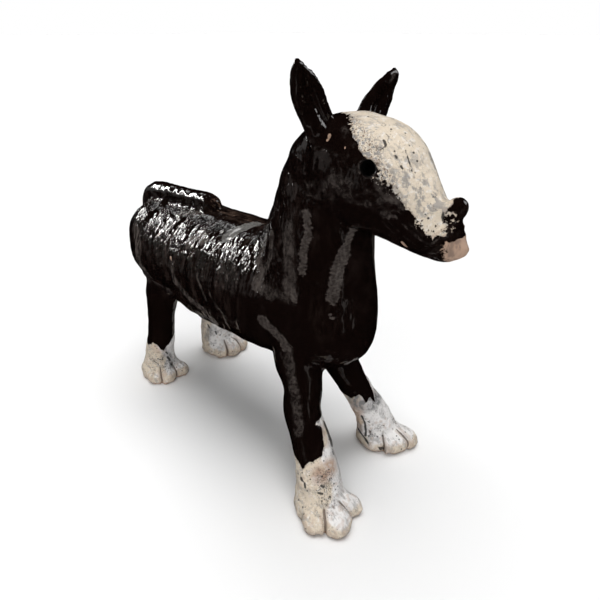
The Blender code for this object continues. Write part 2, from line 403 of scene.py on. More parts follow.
@dataclass(frozen=True)
class Face:
    """Where the dog's features are."""

    eye: Place = (-4.25, -19.4, 41.05)
    gaze: Place = (-0.86, -0.36, 0.37)
    eye_reach: float = 0.70
    mouth: tuple[Place, ...] = (
        (-3.2, -21.8, 36.4),
        (-2.75, -22.8, 35.4),
        (-2.4, -23.9, 34.7),
        (-2.2, -24.8, 34.3),
        (-2.1, -25.6, 34.4),
        (-1.85, -26.2, 35.0),
        (-1.4, -26.7, 35.6),
        (-0.7, -27.0, 35.95),
        (0.0, -27.05, 36.1),
    )
    # The height of the head's middle line at each Y.
    axis: tuple[tuple[float, float], ...] = (
        (-26.9, 35.0), (-25.6, 35.0), (-23.4, 35.6), (-20.8, 37.2), (-18.0, 38.8), (-14.5, 39.8),
        (-11.0, 39.0), (-8.7, 38.3),
    )
    # How far round the head the pale blaze reaches at each Y, in degrees from the top.
    blaze_edge: tuple[tuple[float, float], ...] = (
        (-27.0, -30), (-26.7, 25), (-26.1, 70), (-25.4, 79), (-24.6, 78), (-23.3, 58), (-22.0, 50),
        (-20.0, 53), (-18.0, 47), (-16.0, 31), (-15.0, 19), (-14.0, 12), (-12.8, 6), (-12.4, -12),
    )
    nose: Place = (0.0, -26.3, 38.0)

    def to_right(self, points: np.ndarray) -> np.ndarray:
        """The points turned to the dog's right side."""
        return points * np.array([-1.0, 1.0, 1.0]) * np.where(points[:, :1] > 0, 1, [[-1, 1, 1]])

    def from_eye(self, points: np.ndarray) -> tuple[np.ndarray, np.ndarray]:
        """How far points are from the nearer eye's axis, and how far along it they stand out.

        Args:
            points: Places, one row each.

        Returns:
            The distance off the axis, and the distance along it.
        """
        gaze = np.array(self.gaze) / np.linalg.norm(self.gaze)
        apart = self.to_right(points) - np.array(self.eye)
        along = apart @ gaze
        return np.linalg.norm(apart - along[:, None] * gaze, axis=1), along

    def from_mouth(self, points: np.ndarray) -> np.ndarray:
        """How far points are from the mouth's line."""
        return from_path(self.to_right(points), self.mouth)

    def blaze(self, points: np.ndarray) -> np.ndarray:
        """How far inside the pale blaze each point is.

        Args:
            points: Places, one row each.

        Returns:
            Distances, above 0 inside the blaze.
        """
        _, y, z = points.T
        right = self.to_right(points)
        middle = np.interp(y, *zip(*self.axis))
        rise = z - middle
        round_head = np.degrees(np.arctan2(-right[:, 0], rise))
        reach = np.interp(y, *zip(*self.blaze_edge))
        inside = np.radians(reach - round_head) * np.hypot(right[:, 0], rise)
        below_nose = np.maximum(y + 26.2, -right[:, 0] - 1.0)
        return np.minimum(np.minimum(inside, -12.6 - y), below_nose)


FACE = Face()


@dataclass(frozen=True)
class Ear:
    """One ear's middle line from its root to its tip."""

    side: Side
    across: tuple[float, ...]
    up: tuple[float, ...]

    def off_line(self, points: np.ndarray) -> np.ndarray:
        """How far each point is to the side of the ear's middle line."""
        return points[:, 0] - np.interp(points[:, 2], self.up, self.across)

    def on_ear(self, points: np.ndarray) -> np.ndarray:
        """How fully each point belongs to this ear.

        Args:
            points: Places, one row each.

        Returns:
            Shares from 0 to 1, which fade out towards the ear's root and its tip.
        """
        x, y, z = points.T
        outer = x * self.side.value > 1.5
        root = eased(self.up[0] + 0.8, self.up[2], z)
        tip = eased(self.up[-1] - 0.7, self.up[-1] - 2.0, z)
        return outer * (root * tip) * (y > -15.5)


RIGHT_EAR = Ear(
    Side.RIGHT,
    across=(-2.9, -3.3, -4.3, -5.05, -5.95, -6.8, -7.2),
    up=(41.4, 42.8, 44.6, 45.8, 47.4, 48.9, 50.0),
)
LEFT_EAR = Ear(
    Side.LEFT,
    across=(2.6, 3.0, 3.95, 4.8, 6.0, 7.0, 7.5),
    up=(41.4, 42.6, 44.1, 45.2, 46.6, 47.7, 48.5),
)


@dataclass(frozen=True)
class Stroke:
    """A mark drawn through a few places, with a radius and a strength."""

    path: tuple[Place, ...]
    radius: float
    strength: float = 1.0

    def inside(self, points: np.ndarray, normals: np.ndarray | None = None) -> np.ndarray:
        """How far inside the mark each point is, below 0 outside it."""
        return self.radius - from_path(points, self.path, normals)

    def fade(self, points: np.ndarray) -> np.ndarray:
        """The mark's strength at each point, soft at its rim."""
        inside = self.inside(points)
        return eased(RIM_START * self.radius, RIM_FULL * self.radius, inside) * self.strength


# Grey painted on the black glaze on the dog's right side: painted reflections and highlights of the pale
# surroundings, with some thin glaze.
SOFT_VEILS_AND_REFLECTIONS = (
    Stroke(((-5.4, -10.2, 33.4), (-5.7, -10.3, 31.0), (-5.9, -10.7, 28.9), (-6.0, -10.9, 27.4)), 0.95, 0.9),
    Stroke(((-6.5, -7.0, 25.5), (-6.4, -9.0, 25.8), (-6.2, -10.9, 25.8)), 0.9, 0.7),
    Stroke(((-5.0, -5.9, 31.4), (-5.2, -4.7, 28.7), (-5.8, -6.2, 27.3), (-6.5, -6.1, 25.9)), 0.8, 1.1),
    Stroke(((-5.2, -7.4, 32.1), (-5.8, -7.6, 29.4), (-6.3, -6.2, 26.2)), 0.4, 1.2),
    Stroke(((-6.3, -10.9, 19.1), (-6.8, -12.1, 15.8), (-7.2, -13.3, 12.3), (-7.7, -14.1, 9.9)), 0.7, 0.75),
    Stroke(((-4.7, -12.7, 37.9), (-4.9, -16.8, 38.7), (-4.3, -19.3, 38.1), (-3.6, -21.1, 37.7)), 1.2, 0.5),
    Stroke(((-4.8, -14.0, 41.5), (-4.9, -17.0, 40.6)), 1.6, 0.35),
    Stroke(((-2.9, 17.5, 29.0), (-1.9, 13.7, 29.6), (-0.4, 8.4, 30.2), (1.4, 5.2, 29.8)), 0.9, 0.4),
    Stroke(((-3.3, 13.6, 29.0), (-2.3, 11.2, 29.6)), 0.6, 1.1),
    Stroke(((-6.1, 7.6, 27.1), (-4.7, 7.0, 28.4), (-5.3, 5.6, 27.9)), 0.9, 1.0),
    Stroke(((-7.8, 19.6, 22.1), (-7.7, 17.6, 20.7), (-6.7, 16.8, 18.5), (-7.6, 11.6, 19.3)), 0.5, 0.95),
    Stroke(((-7.8, 9.8, 24.4), (-8.1, 9.2, 22.0), (-7.9, 7.0, 20.3), (-7.5, 3.7, 19.3)), 0.6, 0.95),
    Stroke(((-7.5, 4.9, 24.9), (-7.8, 3.5, 23.1), (-7.8, 2.5, 21.3)), 0.3, 0.8),
    Stroke(((-7.8, 1.9, 22.9), (-7.7, 0.6, 21.1), (-7.5, -0.7, 20.1)), 0.3, 0.7),
    Stroke(((-6.4, 13.0, 27.0), (-7.6, 12.4, 24.6)), 1.8, 0.55),
    Stroke(((-5.9, 1.0, 27.3), (-7.0, -2.0, 25.2)), 1.6, 0.5),
    Stroke(((-7.4, 17.5, 25.6), (-6.9, 20.5, 24.2)), 2.2, 0.35),
    Stroke(((-6.7, 20.8, 26.1), (-7.6, 18.8, 23.7), (-7.4, 19.0, 21.2), (-6.8, 19.0, 18.8)), 0.8, 1.1),
    Stroke(((-7.4, -3.0, 19.5), (-7.8, 6.0, 19.0)), 1.2, 0.3),
    Stroke(((-6.8, -12.8, 47.5), (-5.2, -12.9, 45.6), (-4.0, -12.8, 44.5)), 0.3, 0.8),
    Stroke(((-4.0, -20.3, 39.9), (-3.6, -21.3, 38.9), (-3.1, -22.7, 38.0)), 0.5, 0.65),
    Stroke(((-3.3, -15.2, 44.0), (-4.0, -17.4, 43.0)), 0.4, 0.5),
)
# Painted reflections with a crisp edge, drawn out in ripples.
CRISP_REFLECTIONS = (
    Stroke(((-1.7, -16.0, 33.8), (-2.4, -15.6, 31.7)), 0.42),
    Stroke(((-2.4, -15.6, 31.7), (-3.1, -15.3, 29.5), (-3.7, -15.3, 26.4)), 0.78),
    Stroke(((-4.8, -12.3, 35.4), (-4.8, -12.7, 33.5), (-5.1, -12.3, 31.5), (-5.4, -12.3, 29.0)), 0.5),
    Stroke(((-5.9, -11.6, 26.6), (-6.0, -11.7, 25.6)), 0.42),
    Stroke(((-7.0, -7.6, 22.0), (-6.7, -8.8, 21.0), (-6.5, -10.2, 20.3), (-6.4, -10.6, 19.6)), 0.82),
    Stroke(((-4.0, -15.1, 24.6), (-3.6, -15.5, 24.0)), 0.22),
)
# Thick drips on the right flank, whose strength is how far they stand proud.
DRIPS = (
    Stroke(((-5.6, 2.4, 27.5), (-6.7, 1.4, 26.1), (-7.4, 0.9, 24.3), (-7.6, 0.2, 23.7)), 0.26, 0.15),
    Stroke(((-6.4, 15.4, 26.8), (-7.2, 15.0, 25.5), (-7.5, 14.5, 24.6)), 0.24, 0.15),
    Stroke(((-6.0, 12.3, 27.0), (-7.3, 11.8, 24.6)), 0.22, 0.12),
    Stroke(((-6.3, 10.2, 26.8), (-7.6, 9.6, 24.2), (-7.9, 9.0, 22.6)), 0.22, 0.12),
    Stroke(((-7.5, 14.4, 24.5),), 0.45, 0.14),
)
# The flattened place on the back, behind the neck, whose grey is a painted reflection.
BACK_FLAT = Stroke(((-4.0, 2.3, 28.9), (-2.2, 1.5, 29.7), (-0.4, 1.0, 30.1)), 1.05)
# Black marks that run or spatter on the pale slip.
INK = (
    Stroke(((-8.8, -16.1, 4.9), (-8.95, -16.6, 4.6), (-9.05, -16.8, 4.3)), 0.13),
    Stroke(((-9.75, -16.4, 2.3),), 0.13),
    Stroke(((-10.1, -17.4, 2.1), (-10.1, -17.5, 1.9)), 0.12),
    Stroke(((-7.7, -17.9, 5.7),), 0.13),
    Stroke(((-8.3, -18.4, 4.9), (-8.1, -18.6, 4.7)), 0.14),
    Stroke(((-8.7, -18.3, 4.1), (-8.4, -18.7, 4.0)), 0.12),
    Stroke(((-7.8, -19.3, 3.5),), 0.13),
    Stroke(((-4.3, -15.3, 9.9), (-4.41, -15.61, 9.15), (-4.6, -16.2, 8.5), (-4.8, -16.6, 7.9)), 0.42),
    Stroke(((-1.7, -25.75, 37.9), (-1.5, -25.85, 37.3), (-1.3, -25.9, 36.9)), 0.15),
    Stroke(((1.7, -21.9, 41.9), (1.6, -22.6, 41.2)), 0.13),
    Stroke(((-5.25, -17.05, 7.2), (-5.35, -17.15, 6.95)), 0.13),
    Stroke(((4.6, -14.0, 5.4), (4.9, -14.4, 3.6), (5.0, -14.5, 2.0)), 0.16),
    Stroke(((5.2, -14.3, 5.2), (5.5, -14.8, 4.5)), 0.11),
    # A dark line along this foot's lower edge beside the floor: partly a painted contact shadow, partly
    # pooled glaze.
    Stroke(((5.4, -12.8, 2.0), (4.95, -14.0, 1.8), (4.7, -15.3, 1.3)), 0.15),
    Stroke(((5.55, -16.6, 0.9), (5.9, -16.8, 0.7)), 0.2),
    Stroke(((3.7, 21.0, 7.2),), 0.28),
    Stroke(((3.8, 19.9, 6.2), (4.0, 19.7, 5.7)), 0.17),
    Stroke(((5.3, 18.6, 4.1),), 0.15),
    Stroke(((4.6, 18.9, 5.0), (4.7, 18.8, 4.4)), 0.14),
    Stroke(((-5.4, 18.5, 4.4), (-5.0, 18.5, 3.6)), 0.17),
    Stroke(((-5.0, 18.5, 2.9), (-4.8, 18.5, 2.6)), 0.15),
    Stroke(((-5.7, 18.3, 5.6), (-5.4, 18.3, 5.1)), 0.12),
    Stroke(((-6.9, 19.1, 4.5), (-6.3, 18.7, 4.1), (-6.1, 18.6, 4.6)), 0.08),
    Stroke(((-7.3, 19.7, 4.0), (-6.8, 19.1, 3.4)), 0.08),
    Stroke(((-2.6, -20.0, 42.9), (-2.45, -19.7, 43.2)), 0.12),
    Stroke(((-2.5, -21.0, 42.1), (-2.45, -21.15, 41.9)), 0.1),
    Stroke(((-2.5, -21.7, 41.3), (-2.45, -21.85, 41.1)), 0.1),
    Stroke(((-1.6, -21.4, 42.5), (-1.75, -22.0, 41.6), (-1.85, -22.5, 40.8)), 0.06),
)
# Where the slip is so thin that the clay tints it, and where grey glaze has washed over it.
BLUSH = (
    Stroke(((-8.0, -17.9, 5.9), (-7.2, -18.1, 6.3), (-6.3, -17.9, 6.2)), 1.0, 0.95),
    Stroke(((3.9, -13.3, 6.8), (4.5, -12.8, 4.9), (5.4, -12.6, 2.6)), 1.1, 0.8),
    Stroke(((-6.9, 19.0, 6.4), (-6.2, 18.6, 6.2)), 0.8, 0.5),
)
SMOKE = (
    Stroke(((3.6, -13.2, 8.0), (4.4, -14.2, 7.4), (5.3, -14.7, 7.6), (6.3, -14.8, 7.8)), 1.1, 1.3),
    Stroke(((-5.3, -17.2, 7.0), (-5.0, -17.4, 5.4)), 0.6, 0.6),
    Stroke(((-5.6, 18.3, 5.9), (-5.3, 18.5, 4.4), (-4.8, 18.5, 2.8)), 0.7, 1.1),
    Stroke(((4.2, 19.3, 5.6), (3.8, 20.4, 3.4)), 0.6, 0.9),
)
# Where the slip is crackled, and where it is glassy and blistered beside the black.
CRACKLED = (
    Stroke(((-7.2, 19.6, 4.6), (-6.0, 18.6, 3.2)), 1.6),
    Stroke(((-7.6, -18.3, 5.4), (-8.0, -19.0, 3.6)), 1.3),
)
GLASSY = (
    Stroke(((-2.3, -14.8, 44.4), (-3.2, -17.2, 43.4), (-3.4, -18.9, 42.2)), 1.15),
    Stroke(((-3.7, -20.1, 40.9), (-3.5, -21.0, 40.0)), 0.9),
)
# Places where the glaze has left pink clay bare.
CHIPS = (
    Stroke(((-3.85, -14.44, 43.2), (-4.0, -14.5, 43.0)), 0.17),
    Stroke(((-4.2, -14.5, 42.8),), 0.14),
    Stroke(((-4.25, -16.67, 42.4),), 0.1),
    Stroke(((-2.1, -22.3, 34.1), (-1.9, -22.5, 33.7)), 0.2),
    Stroke(((-7.7, 10.4, 24.9), (-7.8, 10.1, 24.7)), 0.16),
)


@dataclass(frozen=True)
class MakersMarks:
    """The sizes of the marks that hands and running glaze leave in the clay, in centimetres."""

    swell: float = 0.14
    lump: float = 0.075
    grain: float = 0.026
    finger_pitch: float = 1.35
    finger_depth: float = 0.10
    groove_pitch: float = 3.4
    groove_depth: float = 0.15
    flute_depth: float = 0.045
    tail_knob: float = 0.06
    foot_clod: float = 0.17
    foot_pellet: float = 0.07
    toe_swell: float = 0.30
    toe_swell_width: float = 0.8
    cleft_depth: float = 0.52
    cleft_width: float = 0.19
    lip_height: float = 0.19
    lip_at: float = 0.40
    fold_at: float = 0.95
    mouth_depth: float = 0.20
    nose_ball: float = 0.36
    eye_rim: float = 0.09
    ear_crease: float = 0.17
    ear_fold: float = 0.05
    ear_rim: float = 0.07
    tail_crease_depth: float = 0.28
    thumb_depth: float = 0.09
    run_height: float = 0.09
    run_width: float = 0.30
    edge_height: float = 0.05
    seed: int = 11

    def on_trunk(self, points: np.ndarray, normals: np.ndarray) -> np.ndarray:
        """How fully each point belongs to the trunk's sides.

        Args:
            points: Places, one row each.
            normals: The outward direction at each.

        Returns:
            Shares from 0 to 1.
        """
        _, y, z = points.T
        along = eased(-5.5, -2.0, y) * eased(26.8, 24.0, y)
        up = eased(13.5, 16.0, z) * eased(30.5, 28.5, z)
        return along * up * eased(0.15, 0.6, np.abs(normals[:, 0]))

    def on_neck(self, points: np.ndarray) -> np.ndarray:
        """How fully each point belongs to the neck and chest.

        Args:
            points: Places, one row each.

        Returns:
            Shares from 0 to 1.
        """
        _, y, z = points.T
        up = eased(19.0, 22.0, z) * eased(38.5, 36.0, z)
        return up * eased(1.0, -3.0, y)

    def worked_clay(self, skin: Skin) -> np.ndarray:
        """The unevenness all over, from broad swells to fine grain.

        Args:
            skin: The surface to work.

        Returns:
            A height for each point.
        """
        points = skin.points
        _, y, z = points.T
        broad = ClayNoise(self.seed).at(points, 4.5) * self.swell
        lumps = ClayNoise(self.seed + 1).at(points, 1.9) * self.lump
        fine = ClayNoise(self.seed + 2).at(points, 0.85) * self.grain
        tail = eased(29.2, 30.0, z) * eased(7.0, 9.5, y)
        feet = eased(6.5, 4.0, z)
        knobs = ClayNoise(self.seed + 3).at(points, 0.95) * self.tail_knob * tail
        clods = ClayNoise(self.seed + 3).at(points, 1.3) * self.foot_clod
        pellets = ClayNoise(self.seed + 4).at(points, 0.55) * self.foot_pellet
        return broad + lumps + fine + (knobs + (clods + pellets) * feet)

    def finger_marks(self, skin: Skin) -> np.ndarray:
        """Strokes pulled down the trunk and up the neck.

        Args:
            skin: The surface to work.

        Returns:
            A height for each point.
        """
        points, normals = skin.points, skin.normals()
        x, y, _ = points.T
        wander = ClayNoise(self.seed + 4).at(points, 5.0) * 1.6
        drift = wander + ClayNoise(self.seed + 5).at(points, 1.8) * 0.4
        station = y + drift
        fade = 0.35 + 0.65 * eased(-0.35, 0.35, ClayNoise(self.seed + 6).at(points, 3.2))
        strokes = 1 - 2 * np.abs(np.sin(math.pi * station / self.finger_pitch))
        folds = 1 - 2 * np.abs(np.sin(math.pi * (station + 0.7) / self.groove_pitch))
        trunk = self.on_trunk(points, normals)
        height = trunk * (strokes * self.finger_depth * fade * 0.5 + folds * self.groove_depth * 0.45)
        round_neck = np.arctan2(x, -9.1 - y)
        flutes = np.sin(round_neck * 9 + drift * 1.6) * self.flute_depth
        return height + self.on_neck(points) * flutes

    def toes(self, skin: Skin) -> np.ndarray:
        """Clefts between the toes, whose flanks are pressed together.

        Args:
            skin: The surface to work.

        Returns:
            A height for each point, below 0 in a cleft.
        """
        points = skin.points
        height = np.zeros(len(points))
        for foot in FEET:
            apart = points[:, :2] - np.array(foot.middle)
            for parting in foot.partings:
                turn = math.radians(parting)
                ahead = apart @ np.array([math.sin(turn), -math.cos(turn)])
                aside = apart @ np.array([math.cos(turn), math.sin(turn)])
                reach = eased(2.3, 3.4, ahead) * (ahead < 7) * eased(3.5, 2.4, points[:, 2])
                swell = bell(aside, self.toe_swell_width) * self.toe_swell
                height += reach * (swell - bell(aside, self.cleft_width) * self.cleft_depth)
        return height

    def features(self, skin: Skin) -> np.ndarray:
        """The lips, the eyes' rims and the ears' creases.

        Args:
            skin: The surface to work.

        Returns:
            A height for each point.
        """
        points, normals = skin.points, skin.normals()
        off_mouth = FACE.from_mouth(points)
        height = bell(off_mouth - self.lip_at, 0.17) * self.lip_height
        height += bell(off_mouth - self.fold_at, 0.16) * self.lip_height * 0.6 * (points[:, 2] < 37)
        height -= bell(off_mouth, 0.19) * self.mouth_depth
        height *= 0.15 + 0.85 * eased(-26.9, -25.7, points[:, 1])
        off_nose = np.linalg.norm(points - np.array(FACE.nose) - np.array([0, -0.4, -0.2]), axis=1)
        height += bell(off_nose, 1.1) * self.nose_ball
        off_eye, along = FACE.from_eye(points)
        outside = eased(-1.2, -0.4, along)
        uneven = 0.6 + 0.7 * ClayNoise(self.seed + 8).at(points, 0.6)
        height += bell(off_eye - FACE.eye_reach - 0.24, 0.18) * self.eye_rim * outside * uneven
        for ear in (RIGHT_EAR, LEFT_EAR):
            front = eased(-0.1, -0.5, normals[:, 1]) * ear.on_ear(points)
            off = ear.off_line(points) + 0.25 * ear.side.value
            height -= front * bell(off, 0.22) * self.ear_crease
            height += front * bell(off - 0.5, 0.2) * self.ear_fold
            height += front * bell(np.abs(off) - 1.1, 0.3) * self.ear_rim
            back = eased(0.2, 0.6, normals[:, 1]) * ear.on_ear(points)
            height += back * bell(off, 0.4) * self.ear_fold
        return height

    def tail_crease(self, skin: Skin) -> np.ndarray:
        """The deep crease between the tail and the back it lies on.

        Args:
            skin: The surface to work.

        Returns:
            A height for each point, below 0 in the crease.
        """
        points = skin.points
        x, y, z = points.T
        behind = eased(8.0, 9.5, y) * eased(27.5, 28.3, z)
        beside = behind * eased(3.2, 2.2, np.abs(x))
        return -eased(0.01, 0.07, skin.hollowness(8)) * beside * self.tail_crease_depth

    def flat_place(self, skin: Skin) -> np.ndarray:
        """The place on the back that a thumb has pressed flat."""
        return -eased(-0.2, 0.8, BACK_FLAT.inside(skin.points)) * self.thumb_depth

    def runs(self, skin: Skin) -> np.ndarray:
        """Runs of glaze that stand proud where they trickled down the sides.

        Args:
            skin: The surface to work.

        Returns:
            A height for each point.
        """
        points = skin.points
        x, y, z = points.T
        draw = np.random.default_rng(self.seed)
        wander = ClayNoise(self.seed + 9).at(points * np.array([0, 1, 1]), 2.2) * 0.4
        height = np.zeros(len(points))
        for side in Side:
            on_side = eased(2.0, 3.5, x * side.value)
            for place in np.linspace(-3.0, 23.5, 9) + draw.uniform(-1, 1, 9):
                top, foot = draw.uniform(25, 28.5), draw.uniform(17, 22.5)
                off = y + wander - place
                width = self.run_width * (1 + 0.7 * bell(z - foot, 0.6))
                length = eased(foot - 0.4, foot + 0.2, z) * eased(top, top - 2, z)
                height += bell(off, width) * length * self.run_height * on_side
        for drip in DRIPS:
            height += bell(from_path(points, drip.path, skin.normals()), drip.radius) * drip.strength
        return height

    def glaze_lip(self, skin: Skin) -> np.ndarray:
        """The thick rounded edge where the black glaze stops above each foot.

        Args:
            skin: The surface to work.

        Returns:
            A height for each point.
        """
        points = skin.points
        height = np.zeros(len(points))
        for foot in FEET:
            under = foot.below_edge(points)
            lip = eased(0.1, -0.15, under) * (0.6 + 0.4 * bell(under + 0.3, 0.3))
            height += lip * foot.near(points) * self.edge_height * eased(-5, -2, under)
        return height


class DogSkin:
    """The dog itself: one closed surface with its marks and its glaze fields."""

    def __init__(self, marks: MakersMarks, voxel: float = 0.0033, passes: int = 8) -> None:
        """Keeps the sizes.

        Args:
            marks: The marks to work into the clay.
            voxel: How fine the trunk is, in metres. The head and feet are twice as fine.
            passes: How many times the solid's facets are smoothed.
        """
        self.marks = marks
        self.voxel = voxel
        self.passes = passes

    def drawn_over(self, node: bpy.types.Object) -> bpy.types.Mesh:
        """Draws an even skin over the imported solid.

        Args:
            node: The solid's object.

        Returns:
            A new closed mesh with an even grain.
        """
        merged = bmesh.new()
        merged.from_mesh(node.data)
        bmesh.ops.remove_doubles(merged, verts=merged.verts, dist=WELD)
        bmesh.ops.recalc_face_normals(merged, faces=merged.faces)
        coarse = bpy.data.meshes.new("solid copy")
        merged.to_mesh(coarse)
        merged.free()
        carrier = placed("solid copy", coarse)
        remesh = carrier.modifiers.new("Fine skin", "REMESH")
        remesh.mode = "VOXEL"
        remesh.voxel_size = self.voxel
        fine = plain_mesh(carrier)
        bpy.data.objects.remove(carrier)
        fine.name = "dog"
        return fine

    def detailed(self, points: np.ndarray) -> np.ndarray:
        """Which points are on the head, the ears or the feet.

        Args:
            points: Places, one row each.

        Returns:
            Whether each point is there.
        """
        _, y, z = points.T
        head = (z > 33.5) & (y < -14) | (z > 42)
        feet = (z < 8.2) & (z > 0.1)
        return head | feet

    def refine(self, mesh: bpy.types.Mesh) -> None:
        """Halves the grain of the head, the ears and the feet.

        Args:
            mesh: The skin, which is changed.
        """
        chosen = self.detailed(Skin(mesh).points)
        shape = bmesh.new()
        shape.from_mesh(mesh)
        edges = [e for e in shape.edges if chosen[e.verts[0].index] and chosen[e.verts[1].index]]
        bmesh.ops.subdivide_edges(shape, edges=edges, cuts=1, use_grid_fill=True)
        shape.to_mesh(mesh)
        shape.free()

    def smoothing_share(self, points: np.ndarray) -> np.ndarray:
        """How much smoothing each point takes: little at the eyes and none at the soles."""
        off_eye, _ = FACE.from_eye(points)
        return (0.2 + 0.8 * eased(0.8, 1.6, off_eye)) * (points[:, 2] > 0.04)

    def build(self) -> bpy.types.Object:
        """Draws, smooths and works the skin, and writes its glaze fields.

        Returns:
            The dog's object, at the origin.
        """
        mesh = self.drawn_over(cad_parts[NODE])
        skin = Skin(mesh)
        skin.relax(self.passes, self.smoothing_share(skin.points))
        skin.store()
        self.refine(mesh)
        skin = Skin(mesh)
        skin.relax(2, self.detailed(skin.points) * self.smoothing_share(skin.points))
        grounded = skin.points[:, 2] < SOLE_TOP
        free = 1 - eased(MARKS_FROM, SOLE_TOP, skin.points[:, 2])
        for work in (
            self.marks.worked_clay,
            self.marks.finger_marks,
            self.marks.runs,
            self.marks.toes,
            self.marks.features,
            self.marks.tail_crease,
            self.marks.flat_place,
            self.marks.glaze_lip,
        ):
            skin.push(work(skin) * free)
        skin.points[grounded, 2] = 0.0
        skin.keep_within(*SOLID_BOX)
        GlazeFields(skin).write()
        skin.store()
        mesh.shade_smooth()
        return placed("dog", mesh)


class GlazeFields:
    """Where each glaze lies, as numbers on the skin that the material turns into crisp edges."""

    def __init__(self, skin: Skin) -> None:
        """Keeps the skin to write on.

        Args:
            skin: The dog's worked surface.
        """
        self.skin = skin
        self.points = skin.points
        self.normals = skin.normals()
        # The hidden left side repeats the right side's marks, a little further forward and higher.
        self.right = FACE.to_right(skin.points) + np.where(skin.points[:, :1] > 0, [[0, 0.9, -0.5]], 0)

    def slip(self) -> np.ndarray:
        """How far inside the pale slip each point is.

        Returns:
            Distances in millimetres, above 0 in the slip.
        """
        points = self.points
        field = np.full(len(points), -3.0)
        on_head = (points[:, 2] > 33) & (points[:, 1] < -11)
        off_eye, _ = FACE.from_eye(points)
        blaze = np.minimum(FACE.blaze(points), off_eye - FACE.eye_reach - 0.12)
        field = np.where(on_head, np.maximum(field, blaze), field)
        off_nose = np.linalg.norm(points - np.array(FACE.nose) - np.array([0, -0.45, 0]), axis=1)
        field = np.where(on_head, np.minimum(field, off_nose - 1.0), field)
        for foot in FEET:
            field = np.where(foot.near(points), np.maximum(field, foot.below_edge(points)), field)
        return field * MM_IN_CM

    def softness(self) -> np.ndarray:
        """How broken the slip's edge is, most below the eye and round the muzzle.

        Returns:
            Shares from 0 to 1.
        """
        below_eye = Stroke(((-3.9, -20.0, 39.9), (-3.4, -21.2, 39.0)), 1.1).fade(self.right)
        forehead = Stroke(((-2.6, -16.5, 43.8), (-1.2, -14.2, 44.9)), 1.0).fade(self.right) * 0.7
        muzzle = Stroke(((-1.9, -24.2, 36.0), (-1.7, -25.8, 36.3), (-0.9, -26.4, 37.0)), 0.9)
        return np.clip(below_eye + forehead + muzzle.fade(self.right), 0, 1)

    def cream(self) -> np.ndarray:
        """How yellow the slip is.

        Returns:
            Shares from 0, grey-white, to 1, cream.
        """
        points = self.points
        cream = 0.95 * (points[:, 2] > 30)
        for foot in FEET:
            wander = ClayNoise(SPLIT_SEED).at(points, 2.6) * 1.6
            turned = eased(1.1, -1.1, foot.aside(points) + wander - foot.cream_up_to)
            turned = np.maximum(turned, eased(2.6, 1.0, points[:, 2]) * 0.75)
            cream = np.where(foot.near(points), turned, cream)
        return np.clip(cream + ClayNoise(YELLOW_SEED).at(points, 2.0) * 0.25, 0, 1)

    def band(self) -> np.ndarray:
        """Where the slip is glassy and blistered beside the black, from 0 to 1."""
        return np.clip(sum(place.fade(self.right) for place in GLASSY), 0, 1)

    def mottle(self) -> np.ndarray:
        """How strongly blue-grey clouds the slip along the nose, from 0 to 1."""
        nose = Stroke(((-1.6, -20.5, 41.2), (-1.9, -22.5, 39.6), (-1.6, -25.0, 38.2)), 1.2)
        return np.clip(nose.fade(self.right), 0, 1)

    def bare(self) -> np.ndarray:
        """How fully bare clay shows.

        Returns:
            Shares from 0 to 1.
        """
        points = self.points
        x, y, z = points.T
        front = -y - 26.62 - 0.42 * np.abs(x + 0.2) + 0.15 * (z - 34.3)
        chin = eased(-2.3, 0.8, front) * eased(35.5, 35.1, z) * (z > 32)
        rim = eased(0.7, 0.15, z)
        heel = FRONT_LEFT.near(points) * bell(FRONT_LEFT.bearing(points) + 80, 26)
        heel = heel * eased(7.0, 5.5, z)
        return np.clip(chin + rim * 0.8 + heel * 0.75, 0, 1)

    def spine(self) -> np.ndarray:
        """Where brown clay shows through along the ridge of the back.

        Returns:
            Shares from 0 to 1.
        """
        points = self.points
        x, y, z = points.T
        along = eased(-2.0, 1.0, y) * eased(12.0, 9.0, y)
        return bell(x - 0.4, 1.2) * along * (z > 28)

    def veil_and_reflection(self) -> np.ndarray:
        """How grey the black glaze is painted: thin glaze, painted reflections, and painted highlights along
        the lips and round the eyes.

        Returns:
            Shares from 0 to 1.2.
        """
        off_mouth = FACE.from_mouth(self.points)
        # The lines along the lips and the ring round each eye are painted highlights.
        lips = (bell(off_mouth - 0.5, 0.14) + bell(off_mouth - 1.0, 0.12) * 0.6) * (self.points[:, 1] > -26.6)
        off_eye, along = FACE.from_eye(self.points)
        rim = bell(off_eye - FACE.eye_reach - 0.17, 0.1) * (along > -1) * 0.9
        return np.clip(sum(stroke.fade(self.right) for stroke in SOFT_VEILS_AND_REFLECTIONS) + lips * 0.7 + rim, 0, 1.2)

    def furthest_in(self, strokes: tuple[Stroke, ...], mirrored: bool = False) -> np.ndarray:
        """How far inside the nearest of some strokes each point is.

        Args:
            strokes: The marks to look at.
            mirrored: Whether the left side repeats the right side's marks.

        Returns:
            Distances in millimetres, above 0 inside a mark.
        """
        points, normals = self.points, self.normals
        if mirrored:
            points = self.right
            normals = normals * np.where(self.points[:, :1] > 0, [[-1, 1, 1]], 1)
        return np.max([stroke.inside(points, normals) for stroke in strokes], axis=0) * MM_IN_CM

    def ripple(self) -> np.ndarray:
        """How strongly the glaze is rippled.

        Returns:
            Shares from 0 to 1.
        """
        points = self.points
        _, y, z = points.T
        trunk = 0.25 * eased(-6.0, -1.0, y) + 0.75 * eased(-0.5, 6.0, y)
        trunk = trunk * eased(14, 20, z)
        neck = eased(20, 24, z) * eased(42, 38, z)
        tail = eased(6, 9, y) * eased(29, 30, z)
        flat = 1 - 0.8 * eased(-0.2, 0.4, BACK_FLAT.inside(points))
        nape = eased(-12.0, -8.0, y) * neck * 0.4
        return np.clip(0.12 + 0.75 * trunk + 0.3 * neck + nape, 0, 1) * flat * (1 - 0.8 * tail)

    def crackle(self) -> np.ndarray:
        """Where the slip is crackled, from 0 to 1."""
        return np.clip(sum(place.fade(self.points) for place in CRACKLED), 0, 1)

